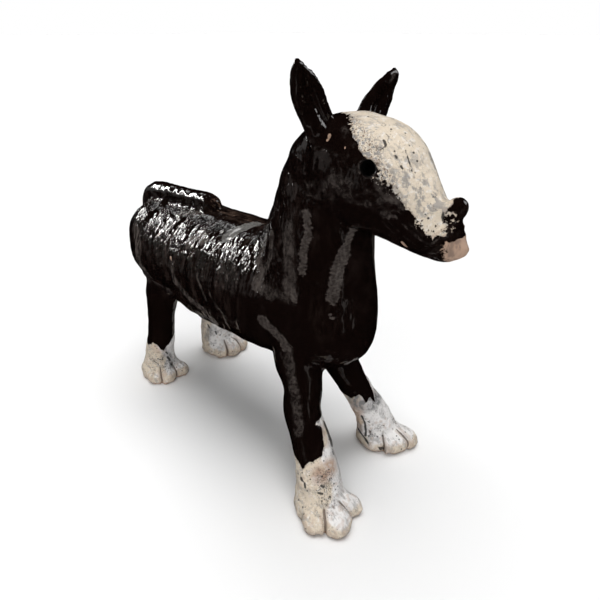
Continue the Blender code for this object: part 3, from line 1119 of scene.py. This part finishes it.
    def write(self) -> None:
        """Stores every field on the mesh."""
        off_eye, along = FACE.from_eye(self.points)
        fields = {
            "slip": self.slip(),
            "softness": self.softness(),
            "cream": self.cream(),
            "band": self.band(),
            "mottle": self.mottle(),
            "bare": self.bare(),
            "blush": sum(stroke.fade(self.points) for stroke in BLUSH),
            "smoke": sum(stroke.fade(self.points) for stroke in SMOKE),
            "spine": self.spine(),
            "veil_and_reflection": self.veil_and_reflection(),
            "sheen": self.furthest_in(CRISP_REFLECTIONS, mirrored=True),
            "flat": BACK_FLAT.inside(self.points) * MM_IN_CM,
            "ink": self.furthest_in(INK),
            "chips": self.furthest_in(CHIPS),
            "ripple": self.ripple(),
            "crackle": self.crackle(),
            "hollow": self.skin.hollowness() * MM_IN_CM,
            "socket": eased(FACE.eye_reach + 0.10, FACE.eye_reach, off_eye) * (along > -3),
        }
        for name, values in fields.items():
            self.skin.write(name, values)


# What a shader's input takes: a reading, another node's output or a plain value.
Input = Any
Colour = tuple[float, float, float, float]
# How fast a noise changes along X, Y and Z where its swells are drawn out one way.
ALONG_RINGS = (0.3, 1.0, 0.3)
DOWNWARD = (1.0, 1.0, 0.3)
ACROSS = (0.55, 0.55, 1.0)
ALONG_NOSE = (1.0, 0.35, 0.6)


class Reading:
    """One shader value that takes part in Python sums."""

    def __init__(self, bench: GlazeBench, socket: bpy.types.NodeSocket) -> None:
        """Wraps a socket.

        Args:
            bench: The bench that adds the nodes.
            socket: The output to read.
        """
        self.bench = bench
        self.socket = socket

    def _sum(self, operation: str, first: Input, second: Input) -> Reading:
        """Adds one Math node."""
        return self.bench.read("ShaderNodeMath", {"operation": operation}, {0: first, 1: second})

    def __add__(self, other: Input) -> Reading:
        """This plus other."""
        return self._sum("ADD", self, other)

    def __radd__(self, other: Input) -> Reading:
        """Other plus this."""
        return self._sum("ADD", other, self)

    def __sub__(self, other: Input) -> Reading:
        """This less other."""
        return self._sum("SUBTRACT", self, other)

    def __rsub__(self, other: Input) -> Reading:
        """Other less this."""
        return self._sum("SUBTRACT", other, self)

    def __mul__(self, other: Input) -> Reading:
        """This times other."""
        return self._sum("MULTIPLY", self, other)

    def __rmul__(self, other: Input) -> Reading:
        """Other times this."""
        return self._sum("MULTIPLY", other, self)

    def __abs__(self) -> Reading:
        """This without its sign."""
        return self._sum("ABSOLUTE", self, 0.0)

    def or_more(self, other: Input) -> Reading:
        """The larger of this and other."""
        return self._sum("MAXIMUM", self, other)

    def step(self, low: float, high: float) -> Reading:
        """Rises smoothly from 0 at low to 1 at high, or falls where low is above high.

        Args:
            low: The value that gives 0.
            high: The value that gives 1.

        Returns:
            The eased value, from 0 to 1.
        """
        if low > high:
            return 1 - self.step(high, low)
        sockets = {"Value": self, "From Min": low, "From Max": high}
        return self.bench.read("ShaderNodeMapRange", {"interpolation_type": "SMOOTHSTEP"}, sockets)


class GlazeBench:
    """Lays out one material's nodes."""

    def __init__(self, name: str) -> None:
        """Starts a material with a Principled shader.

        Args:
            name: The material's name.
        """
        self.material = bpy.data.materials.new(name)
        self.material.use_nodes = True
        self.tree = self.material.node_tree
        self.shader = self.tree.nodes["Principled BSDF"]
        self.place = self.node("ShaderNodeTexCoord", {}, {}).outputs["Object"]

    def node(
        self, kind: str, settings: dict[str, Any], sockets: dict[str | int, Input]
    ) -> bpy.types.Node:
        """Adds one node.

        Args:
            kind: The node's type.
            settings: Its own settings, such as a Math node's operation.
            sockets: Its inputs' values or links, by name or number.

        Returns:
            The new node.
        """
        made = self.tree.nodes.new(kind)
        for name, value in settings.items():
            setattr(made, name, value)
        for name, value in sockets.items():
            self.feed(made.inputs[name], value)
        return made

    def feed(self, socket: bpy.types.NodeSocket, value: Input) -> None:
        """Links or sets one input.

        Args:
            socket: The input.
            value: What it takes, as a reading, another node's output or a plain value.
        """
        if isinstance(value, Reading):
            self.tree.links.new(value.socket, socket)
        elif isinstance(value, bpy.types.NodeSocket):
            self.tree.links.new(value, socket)
        else:
            socket.default_value = value

    def read(
        self, kind: str, settings: dict[str, Any], sockets: dict[str | int, Input], output: str | int = 0
    ) -> Reading:
        """Adds one node and reads one of its outputs."""
        return Reading(self, self.node(kind, settings, sockets).outputs[output])

    def field(self, name: str) -> Reading:
        """Reads a number kept on the mesh."""
        return self.read("ShaderNodeAttribute", {"attribute_name": name}, {}, "Fac")

    def stretched(self, scale: Place) -> bpy.types.NodeSocket:
        """The place with each axis scaled."""
        sockets = {0: self.place, 1: scale}
        return self.node("ShaderNodeVectorMath", {"operation": "MULTIPLY"}, sockets).outputs[0]

    def noise(
        self, size: float, detail: float = 2.0, scale: Place | None = None, roughness: float = 0.5
    ) -> Reading:
        """Smooth noise with swells of a size in millimetres.

        Args:
            size: How far apart the swells are.
            detail: How many finer layers are added.
            scale: How fast it changes along X, Y and Z.
            roughness: How strong the finer layers are.

        Returns:
            The noise, from 0 to 1 and mostly near 0.5.
        """
        place = self.stretched(scale) if scale else self.place
        sockets = {"Vector": place, "Scale": MM_IN_M / size, "Detail": detail, "Roughness": roughness}
        return self.read("ShaderNodeTexNoise", {}, sockets, "Fac")

    def dots(self, size: float) -> tuple[Reading, Reading]:
        """Scatters dots.

        Args:
            size: Their spacing in millimetres.

        Returns:
            The distance to the nearest dot in units of their spacing, and a chance for each dot.
        """
        cells = self.node("ShaderNodeTexVoronoi", {}, {"Vector": self.place, "Scale": MM_IN_M / size})
        chance = self.read("ShaderNodeSeparateColor", {}, {"Color": cells.outputs["Color"]}, 0)
        return Reading(self, cells.outputs["Distance"]), chance

    def cracks(self, size: float) -> Reading:
        """Lays a net of fine bent cracks.

        Args:
            size: Their spacing in millimetres.

        Returns:
            The distance to the nearest crack, in units of their spacing.
        """
        bent = self.node("ShaderNodeTexNoise", {}, {"Vector": self.place, "Scale": 2 * MM_IN_M / size})
        sway = {0: bent.outputs["Color"], "Scale": size / (1.5 * MM_IN_M)}
        shift = self.node("ShaderNodeVectorMath", {"operation": "SCALE"}, sway).outputs[0]
        place = self.node("ShaderNodeVectorMath", {"operation": "ADD"}, {0: self.place, 1: shift})
        sockets = {"Vector": place.outputs[0], "Scale": MM_IN_M / size}
        return self.read("ShaderNodeTexVoronoi", {"feature": "DISTANCE_TO_EDGE"}, sockets, "Distance")

    def blend(self, share: Input, first: Input, second: Input) -> bpy.types.NodeSocket:
        """Mixes two colours by a share of the second."""
        sockets = {"Factor": share, 6: first, 7: second}
        return self.node("ShaderNodeMix", {"data_type": "RGBA"}, sockets).outputs[2]

    def finish(self, sockets: dict[str, Input]) -> bpy.types.Material:
        """Feeds the shader.

        Args:
            sockets: The shader's inputs' values or links, by name.

        Returns:
            The finished material.
        """
        for name, value in sockets.items():
            self.feed(self.shader.inputs[name], value)
        return self.material


@dataclass(frozen=True)
class PouredGlazes:
    """Black glaze over pale slip and pink clay, as one finish with crisp ragged edges.

    The relief's depths and heights are in metres.
    """

    black: Colour = (0.0040, 0.0020, 0.0016, 1)
    wash: Colour = (0.020, 0.013, 0.011, 1)
    # The grey of thin glaze and of painted reflections.
    veil_and_reflection: Colour = (0.072, 0.060, 0.054, 1)
    # A painted reflection on the back's flat place.
    flat_place_reflection: Colour = (0.15, 0.145, 0.137, 1)
    umber: Colour = (0.12, 0.078, 0.058, 1)
    cream: Colour = (0.66, 0.57, 0.455, 1)
    white: Colour = (0.78, 0.76, 0.745, 1)
    shade: Colour = (0.20, 0.195, 0.195, 1)
    # A brown stain, also used as painted shade in the slip's creases.
    stain_and_crease_shade: Colour = (0.15, 0.105, 0.08, 1)
    clay: Colour = (0.42, 0.28, 0.20, 1)
    soot: Colour = (0.008, 0.006, 0.006, 1)
    # Painted shade for the inside of the eye holes.
    eye_hole_shade: Colour = (0.0012, 0.001, 0.001, 1)
    ring_depth: float = 0.0019
    dimple_depth: float = 0.0011
    run_depth: float = 0.00018
    bead_height: float = 0.0003
    swell_depth: float = 0.0006
    grit_depth: float = 0.0013
    mark_depth: float = 0.0003
    daub_depth: float = 0.0009
    glaze_thickness: float = 0.0004

    def edge(self, bench: GlazeBench) -> Reading:
        """Makes the slip's edge ragged.

        Args:
            bench: The bench to lay the nodes on.

        Returns:
            How far inside the slip each point is, in millimetres.
        """
        ragged = (bench.noise(11, 3) - 0.5) * 7 + (bench.noise(3.2, 3) - 0.5) * 3.5
        drips = (bench.noise(7, 2, (1, 1, 0.25)) - 0.5) * 6
        broken = (bench.noise(4.5, 5, roughness=0.7) - 0.5) * bench.field("softness") * 55
        notches = (bench.noise(5, 4, roughness=0.6) - 0.5) * 6
        return bench.field("slip") + ragged + drips + notches + broken

    def glaze_tone(self, bench: GlazeBench) -> tuple[bpy.types.NodeSocket, Reading]:
        """The black glaze's colour with its painted reflections, and how far its thin places and painted
        reflections reach.

        Args:
            bench: The bench to lay the nodes on.

        Returns:
            The colour, and a share from 0 to 1.
        """
        ripple = bench.field("ripple")
        rings = bench.noise(4, 3, ALONG_RINGS, 0.6)
        streaks = bench.noise(4, 4, DOWNWARD, 0.6)
        washes = bench.noise(17, 4, ALONG_RINGS, 0.6).step(0.46, 0.66) * rings.step(0.40, 0.62)
        tone = bench.blend(washes * ripple, self.black, self.wash)
        ridge = bench.noise(5, 5, (1, 0.2, 1), 0.66).step(0.46, 0.66) * bench.field("spine")
        tone = bench.blend(ridge * 0.8, tone, self.umber)
        # Soft grey veils: thin glaze with painted reflections and highlights.
        soft = (bench.field("veil_and_reflection") + (bench.noise(9, 5, roughness=0.68) - 0.5) * 2.4).step(0.3, 1.2)
        fleck = bench.noise(3.5, 4, roughness=0.65)
        fleck = fleck + (streaks - fleck) * ripple
        soft = soft * (0.25 + fleck.step(0.36, 0.64) * 0.65)
        tone = bench.blend(soft, tone, self.veil_and_reflection)
        # Crisp grey strips: painted reflections with rippled edges.
        ripples = bench.noise(2.6, 4, ACROSS, 0.62)
        crisp = (bench.field("sheen") + (ripples - 0.5) * 9 + (bench.noise(9, 2) - 0.5) * 6).step(-0.2, 1.2)
        share = 0.2 + fleck.step(0.38, 0.60) * 0.35 + ripples.step(0.4, 0.6) * 0.35
        tone = bench.blend(crisp * share, tone, self.veil_and_reflection)
        # The back's flat place: a painted reflection, with fine lines.
        flat = (bench.field("flat") + (bench.noise(6, 4, roughness=0.65) - 0.5) * 14).step(0.0, 2.4)
        lines = bench.noise(1.6, 2, (1, 0.3, 1)).step(0.35, 0.6)
        tone = bench.blend(flat * (0.5 + lines * 0.5), tone, self.flat_place_reflection)
        return tone, soft.or_more(crisp)

    def slip_tone(self, bench: GlazeBench, border: Reading) -> tuple[bpy.types.NodeSocket, Reading]:
        """The pale slip's colour, and where it is marked.

        Args:
            bench: The bench to lay the nodes on.
            border: How far inside the slip each point is.

        Returns:
            The colour, and a share from 0 to 1.
        """
        yellow = (bench.field("cream") + (bench.noise(15, 3) - 0.5) * 0.8).step(0.3, 0.7)
        slip = bench.blend(yellow, self.white, self.cream)
        mottle = bench.field("mottle")
        chalk = bench.noise(5, 4, roughness=0.65).step(0.54, 0.62)
        slip = bench.blend(chalk * 0.5, slip, self.white)
        clouds = (bench.noise(6.5, 6, ALONG_NOSE, 0.72) + mottle * 0.04).step(0.51, 0.60)
        slip = bench.blend(clouds * (0.45 + mottle * 0.3), slip, self.shade)
        grime = bench.noise(2.4, 5, roughness=0.75).step(0.56, 0.66) * bench.noise(16, 2).step(0.44, 0.6)
        slip = bench.blend(grime * 0.75, slip, self.stain_and_crease_shade)
        hollow = bench.field("hollow")
        # Painted shade: the slip is darkened in its creases and hollows, such as the toe clefts.
        slip = bench.blend(hollow.step(0.04, 0.5) * 0.85, slip, self.stain_and_crease_shade)
        worn = (hollow + (bench.noise(6, 3) - 0.5) * 0.25).step(-0.10, -0.30)
        slip = bench.blend(worn * 0.35, slip, self.clay)
        thin = bench.field("blush") * (0.55 + bench.noise(6, 4).step(0.4, 0.6) * 0.4)
        slip = bench.blend(thin, slip, self.clay)
        washed = bench.field("smoke") * (0.35 + bench.noise(5, 4, (1, 1, 0.5)).step(0.42, 0.58) * 0.5)
        slip = bench.blend(washed, slip, self.shade)
        rim = border.step(4.0, 0.3) * bench.noise(4, 4, roughness=0.65).step(0.44, 0.58)
        slip = bench.blend(rim * 0.7, slip, self.stain_and_crease_shade)
        beads = bench.noise(3.0, 3, roughness=0.6)
        band = bench.field("band")
        slip = bench.blend(band * beads.step(0.50, 0.56) * 0.85, slip, self.shade)
        slip = bench.blend(band * beads.step(0.45, 0.38) * 0.9, slip, self.stain_and_crease_shade)

        away, chance = bench.dots(6.5)
        pits = away.step(0.20, 0.12) * chance.step(0.62, 0.66)
        specks_away, specks_chance = bench.dots(2.6)
        specks = specks_away.step(0.26, 0.16) * specks_chance.step(0.80, 0.84)
        specks = specks * bench.noise(20, 2).step(0.5, 0.6)
        wriggle = abs(bench.noise(9, 2) - 0.5).step(0.014, 0.005) * bench.noise(21, 1).step(0.60, 0.66)
        dirt = bench.noise(2.0, 5, roughness=0.8) + bench.field("crackle") * 0.07
        cracks = bench.cracks(5.0).step(0.06, 0.02) * dirt.step(0.52, 0.60) * bench.field("crackle")
        cracks = cracks.or_more(dirt.step(0.63, 0.69))
        ink = (bench.field("ink") + (bench.noise(2, 2) - 0.5) * 1.2).step(-0.35, 0.25)
        marks = pits.or_more(specks * 0.7).or_more(wriggle).or_more(cracks).or_more(ink)
        return bench.blend(marks * 0.9, slip, self.soot), marks

    def material(self) -> bpy.types.Material:
        """Lays out the finish.

        Returns:
            The dog's material.
        """
        bench = GlazeBench("Poured glazes")
        border = self.edge(bench)
        pale = border.step(-0.35, 0.35)
        # thin covers both the thin glaze and the painted reflections.
        black, thin = self.glaze_tone(bench)
        slip, marks = self.slip_tone(bench, border)
        colour = bench.blend(pale, black, slip)
        worn = (bench.noise(8, 4, roughness=0.6) - 0.5) * 0.7 + (bench.noise(3, 4, roughness=0.7) - 0.5) * 1.1
        bare = (bench.field("bare") + worn).step(0.43, 0.57)
        bare = bare.or_more((bench.field("chips") + (bench.noise(2.5, 2) - 0.5) * 2).step(-0.3, 0.4))
        clay = bench.blend(bench.noise(7, 4, DOWNWARD, 0.65).step(0.47, 0.66) * 0.65, self.clay, self.stain_and_crease_shade)
        colour = bench.blend(bare * 0.9, colour, clay)
        # Painted shade: inside each eye hole the colour is darker and duller than the glaze round it.
        socket = bench.field("socket")
        colour = bench.blend(socket, colour, self.eye_hole_shade)

        gloss = 0.03 + bench.noise(16, 2) * 0.08 + thin * 0.05
        satin = 0.30 + bench.noise(10, 3) * 0.25 - bench.field("band") * 0.15
        rough = gloss + (satin - gloss) * pale
        rough = rough + (0.62 - rough) * bare
        rough = rough + (0.9 - rough) * socket

        ripple = bench.field("ripple")
        rings = (bench.noise(6.5, 1, ALONG_RINGS) - 0.5) * ripple
        dimples = (bench.noise(5, 1, (0.8, 1, 0.6)) - 0.5) * ripple
        runs = (bench.noise(5, 2, DOWNWARD) - 0.5) * (1 - ripple)
        away, chance = bench.dots(3.6)
        beads = away.step(0.42, 0.1) * chance.step(0.55, 0.6)
        glassy = rings * self.ring_depth + dimples * self.dimple_depth + runs * self.run_depth
        glassy = glassy + beads * (0.15 + ripple) * self.bead_height
        glassy = glassy + (bench.noise(11, 1) - 0.5) * self.swell_depth
        gritty = (bench.noise(2.6, 4, roughness=0.62) - 0.5) * self.grit_depth - marks * self.mark_depth
        gritty = gritty + (bench.noise(7, 3) - 0.5) * self.daub_depth
        relief = glassy + (gritty - glassy) * pale + pale.step(1.0, 0.0) * self.glaze_thickness
        bump = bench.node("ShaderNodeBump", {}, {"Strength": 1.0, "Distance": 1.0, "Height": relief})
        return bench.finish({"Base Color": colour, "Roughness": rough, "Normal": bump.outputs[0], "IOR": 1.5})


@dataclass(frozen=True)
class BlisterGlaze:
    """The clear black glaze of a blister."""

    colour: Colour = (0.006, 0.004, 0.0035, 1)
    thin: Colour = (0.03, 0.026, 0.024, 1)

    def material(self) -> bpy.types.Material:
        """Lays out the finish.

        Returns:
            The beads' material.
        """
        bench = GlazeBench("Blister glaze")
        tone = bench.blend(bench.noise(4) * 0.6, self.colour, self.thin)
        return bench.finish({"Base Color": tone, "Roughness": 0.08 + bench.noise(3, 1) * 0.1})


@dataclass(frozen=True)
class GlazeBlisters:
    """Small beads that burst out of the glaze, scattered over the dog by a geometry tree.

    The radius and the spacing are in metres, and the density is in beads on a square metre. The
    smallest bead is a share of the radius. No bead lies nearer than from_box, in centimetres, to a
    face of the solid's box.
    """

    radius: float = 0.0007
    smallest: float = 0.45
    spacing: float = 0.0045
    density: float = 3600.0
    from_box: float = 0.15
    segments: int = 8
    rings: int = 5
    place_seed: int = 5
    size_seed: int = 9

    def tree(self, material: bpy.types.Material) -> bpy.types.NodeTree:
        """Builds the scattering tree.

        Args:
            material: The beads' finish.

        Returns:
            The tree, with its sizes as named inputs.
        """
        tree = bpy.data.node_groups.new("Scatter glaze blisters", "GeometryNodeTree")
        tree.interface.new_socket("Skin", in_out="INPUT", socket_type="NodeSocketGeometry")
        for name in ("Radius", "Spacing", "Density"):
            tree.interface.new_socket(name, in_out="INPUT", socket_type="NodeSocketFloat")
        tree.interface.new_socket("Blisters", in_out="OUTPUT", socket_type="NodeSocketGeometry")
        add, link = tree.nodes.new, tree.links.new
        given, made = add("NodeGroupInput"), add("NodeGroupOutput")
        where = add("GeometryNodeInputNamedAttribute")
        where.data_type = "FLOAT"
        where.inputs["Name"].default_value = "blisters"
        scatter = add("GeometryNodeDistributePointsOnFaces")
        scatter.distribute_method = "POISSON"
        scatter.inputs["Seed"].default_value = self.place_seed
        link(given.outputs["Skin"], scatter.inputs["Mesh"])
        link(given.outputs["Spacing"], scatter.inputs["Distance Min"])
        link(given.outputs["Density"], scatter.inputs["Density Max"])
        link(where.outputs["Attribute"], scatter.inputs["Density Factor"])
        bead = add("GeometryNodeMeshUVSphere")
        bead.inputs["Segments"].default_value = self.segments
        bead.inputs["Rings"].default_value = self.rings
        link(given.outputs["Radius"], bead.inputs["Radius"])
        size = add("FunctionNodeRandomValue")
        size.inputs[2].default_value = self.smallest
        size.inputs[3].default_value = 1.0
        size.inputs["Seed"].default_value = self.size_seed
        place = add("GeometryNodeInstanceOnPoints")
        link(scatter.outputs["Points"], place.inputs["Points"])
        link(bead.outputs["Mesh"], place.inputs["Instance"])
        link(scatter.outputs["Rotation"], place.inputs["Rotation"])
        link(size.outputs[1], place.inputs["Scale"])
        real = add("GeometryNodeRealizeInstances")
        link(place.outputs["Instances"], real.inputs["Geometry"])
        finish = add("GeometryNodeSetMaterial")
        finish.inputs["Material"].default_value = material
        link(real.outputs["Geometry"], finish.inputs["Geometry"])
        link(finish.outputs["Geometry"], made.inputs["Blisters"])
        return tree

    def thickness(self, mesh: bpy.types.Mesh) -> np.ndarray:
        """How thickly the beads lie at each point of the dog.

        Args:
            mesh: The dog's finished mesh.

        Returns:
            Shares from 0 to 1, and 0 near the box's faces and off the black glaze.
        """
        points = Skin(mesh).points
        slip = np.zeros(len(points), np.float32)
        mesh.attributes["slip"].data.foreach_get("value", slip)
        patches = eased(0.1, 0.6, ClayNoise(BLISTER_SEED).at(points, 2.8))
        trunk = eased(-3.0, 2.0, points[:, 1]) * eased(20.0, 23.5, points[:, 2])
        shin = FRONT_RIGHT.near(points) * bell(FRONT_RIGHT.bearing(points) + 50, 30)
        low, high = (np.array(corner) / CM - STANDS for corner in SOLID_BOX)
        inside = np.minimum(points - low, high - points).min(axis=1) > self.from_box
        return np.clip(patches * (0.12 + 0.8 * trunk) + shin * 0.4, 0, 1) * (slip < -4) * inside

    def build(self, dog: bpy.types.Object) -> bpy.types.Object:
        """Scatters the beads and keeps them as a plain mesh.

        Args:
            dog: The finished dog.

        Returns:
            The beads' object, at the origin.
        """
        carrier = placed("blister carrier", dog.data.copy())
        attribute = carrier.data.attributes.new("blisters", "FLOAT", "POINT")
        attribute.data.foreach_set("value", self.thickness(dog.data).astype(np.float32))
        modifier = carrier.modifiers.new("Blisters", "NODES")
        modifier.node_group = self.tree(BlisterGlaze().material())
        values = {"Radius": self.radius, "Spacing": self.spacing, "Density": self.density}
        for item in modifier.node_group.interface.items_tree:
            if item.in_out == "INPUT" and item.name in values:
                modifier[item.identifier] = values[item.name]
        mesh = plain_mesh(carrier)
        carrier.modifiers.remove(modifier)
        bpy.data.objects.remove(carrier)
        mesh.name = "glaze_blisters"
        mesh.shade_smooth()
        return placed("glaze_blisters", mesh)


@dataclass(frozen=True)
class Panel:
    """One bright board that only the gloss of the glaze mirrors."""

    name: str
    stands: Place
    faces: Place
    sides: tuple[float, float]
    brightness: float
    tint: Place = (1.0, 1.0, 1.0)

    def light(self) -> None:
        """Makes the board's light."""
        lamp = bpy.data.lights.new(self.name, "AREA")
        lamp.shape = "RECTANGLE"
        lamp.size, lamp.size_y = self.sides
        lamp.energy = self.brightness * math.pi * self.sides[0] * self.sides[1]
        lamp.color = self.tint
        holder = placed(self.name, lamp)
        holder.location = self.stands
        aim = Vector(self.faces) - Vector(self.stands)
        holder.rotation_euler = aim.to_track_quat("-Z", "Y").to_euler()
        holder.visible_camera = False
        holder.visible_diffuse = False


@dataclass(frozen=True)
class SoftSky:
    """Light from a wide part of the sky, which the glaze doesn't mirror."""

    name: str
    heading: float
    height: float
    spread: float
    strength: float

    def light(self) -> None:
        """Makes the light."""
        lamp = bpy.data.lights.new(self.name, "SUN")
        lamp.energy = self.strength
        lamp.angle = math.radians(self.spread)
        holder = placed(self.name, lamp)
        turn, rise = math.radians(self.heading), math.radians(self.height)
        to_light = Vector((math.sin(turn) * math.cos(rise), math.cos(turn) * math.cos(rise), math.sin(rise)))
        holder.rotation_euler = to_light.to_track_quat("Z", "Y").to_euler()
        holder.visible_glossy = False


@dataclass(frozen=True)
class Studio:
    """The plain pale floor, the soft lights and the camera."""

    floor_half: float = 55.0
    paper: Colour = (0.79, 0.79, 0.79, 1)
    paper_light: Colour = (0.81, 0.81, 0.805, 1)
    skies: tuple[SoftSky, ...] = (
        SoftSky("overhead sky", 45.0, 84.0, 52.0, 3.38),
        SoftSky("front sky", 225.0, 22.0, 80.0, 1.95),
    )
    panels: tuple[Panel, ...] = (
        Panel("window behind", (-0.60, 1.80, 1.22), (0, 0.05, 0.27), (1.3, 0.10), 56.0, (1, 0.99, 0.97)),
        Panel("wall behind", (-0.60, 1.85, 1.00), (0, 0.05, 0.27), (1.6, 0.7), 0.3, (1, 0.96, 0.93)),
        Panel("high window", (0.25, 1.5, 1.50), (-0.02, 0.02, 0.3), (0.5, 0.25), 4.0),
        Panel("front strip", (-0.17, -0.98, 0.10), (-0.01, -0.15, 0.3), (0.1, 0.5), 0.55, (1, 0.92, 0.87)),
        Panel("side strip", (-1.30, 0.05, 0.35), (-0.04, -0.12, 0.32), (0.12, 0.7), 0.3, (1, 0.93, 0.88)),
        Panel("ear light", (0.95, -0.75, 0.95), (0.0, -0.13, 0.46), (0.6, 0.6), 3.5),
        Panel("side wall", (-1.2, 1.0, 0.5), (-0.05, 0.0, 0.25), (0.5, 0.9), 0.25, (1.0, 0.9, 0.85)),
    )
    camera_at: Place = (-0.42270, -0.49259, 0.52130)
    heading: float = 44.9
    dip: float = 26.7
    lens: float = 32.4
    sensor: float = 36.0
    clip_start: float = 0.02

    def floor(self) -> bpy.types.Object:
        """Lays the floor, which the gloss of the glaze doesn't mirror.

        Returns:
            The floor's object.
        """
        sheet = bmesh.new()
        bmesh.ops.create_grid(sheet, x_segments=8, y_segments=8, size=self.floor_half)
        mesh = bpy.data.meshes.new("floor")
        sheet.to_mesh(mesh)
        sheet.free()
        floor = placed("floor", mesh)
        bench = GlazeBench("Studio paper")
        tone = bench.blend(bench.noise(400) * 0.2, self.paper, self.paper_light)
        mesh.materials.append(bench.finish({"Base Color": tone, "Roughness": 0.9, "Specular IOR Level": 0.0}))
        floor.visible_glossy = False
        return floor

    def world(self) -> None:
        """Sets a plain white surround that only the camera sees."""
        world = bpy.data.worlds.new("White surround")
        bpy.context.scene.world = world
        world.use_nodes = True
        back = world.node_tree.nodes["Background"]
        back.inputs["Color"].default_value = (1, 1, 1, 1)
        world.cycles_visibility.diffuse = False
        world.cycles_visibility.glossy = False

    def camera(self) -> None:
        """Sets up the camera where the photograph was taken from."""
        lens = bpy.data.cameras.new("Camera")
        lens.lens = self.lens
        lens.sensor_width = self.sensor
        lens.clip_start = self.clip_start
        holder = placed("Camera", lens)
        yaw, pitch = math.radians(self.heading), math.radians(self.dip)
        look = Vector((math.sin(yaw) * math.cos(pitch), math.cos(yaw) * math.cos(pitch), -math.sin(pitch)))
        turn = look.to_track_quat("-Z", "Y").to_matrix().to_4x4()
        holder.matrix_world = Matrix.Translation(self.camera_at) @ turn
        bpy.context.scene.camera = holder

    def build(self) -> None:
        """Builds the whole studio."""
        self.floor()
        self.world()
        for light in self.skies + self.panels:
            light.light()
        self.camera()
        bpy.context.scene.view_settings.view_transform = "Standard"


def main() -> None:
    """Builds the studio and the dog, and reports each piece."""
    logging.basicConfig(level=logging.INFO, format="%(name)s: %(message)s")
    Studio().build()
    dog = DogSkin(MakersMarks()).build()
    dog.data.materials.clear()
    dog.data.materials.append(PouredGlazes().material())
    beads = GlazeBlisters().build(dog)
    for piece in (dog, beads):
        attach(piece, BODY)
        log.info("%s has %d faces", piece.name, len(piece.data.polygons))
    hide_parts(NODE)


if __name__ == "__main__":
    main()
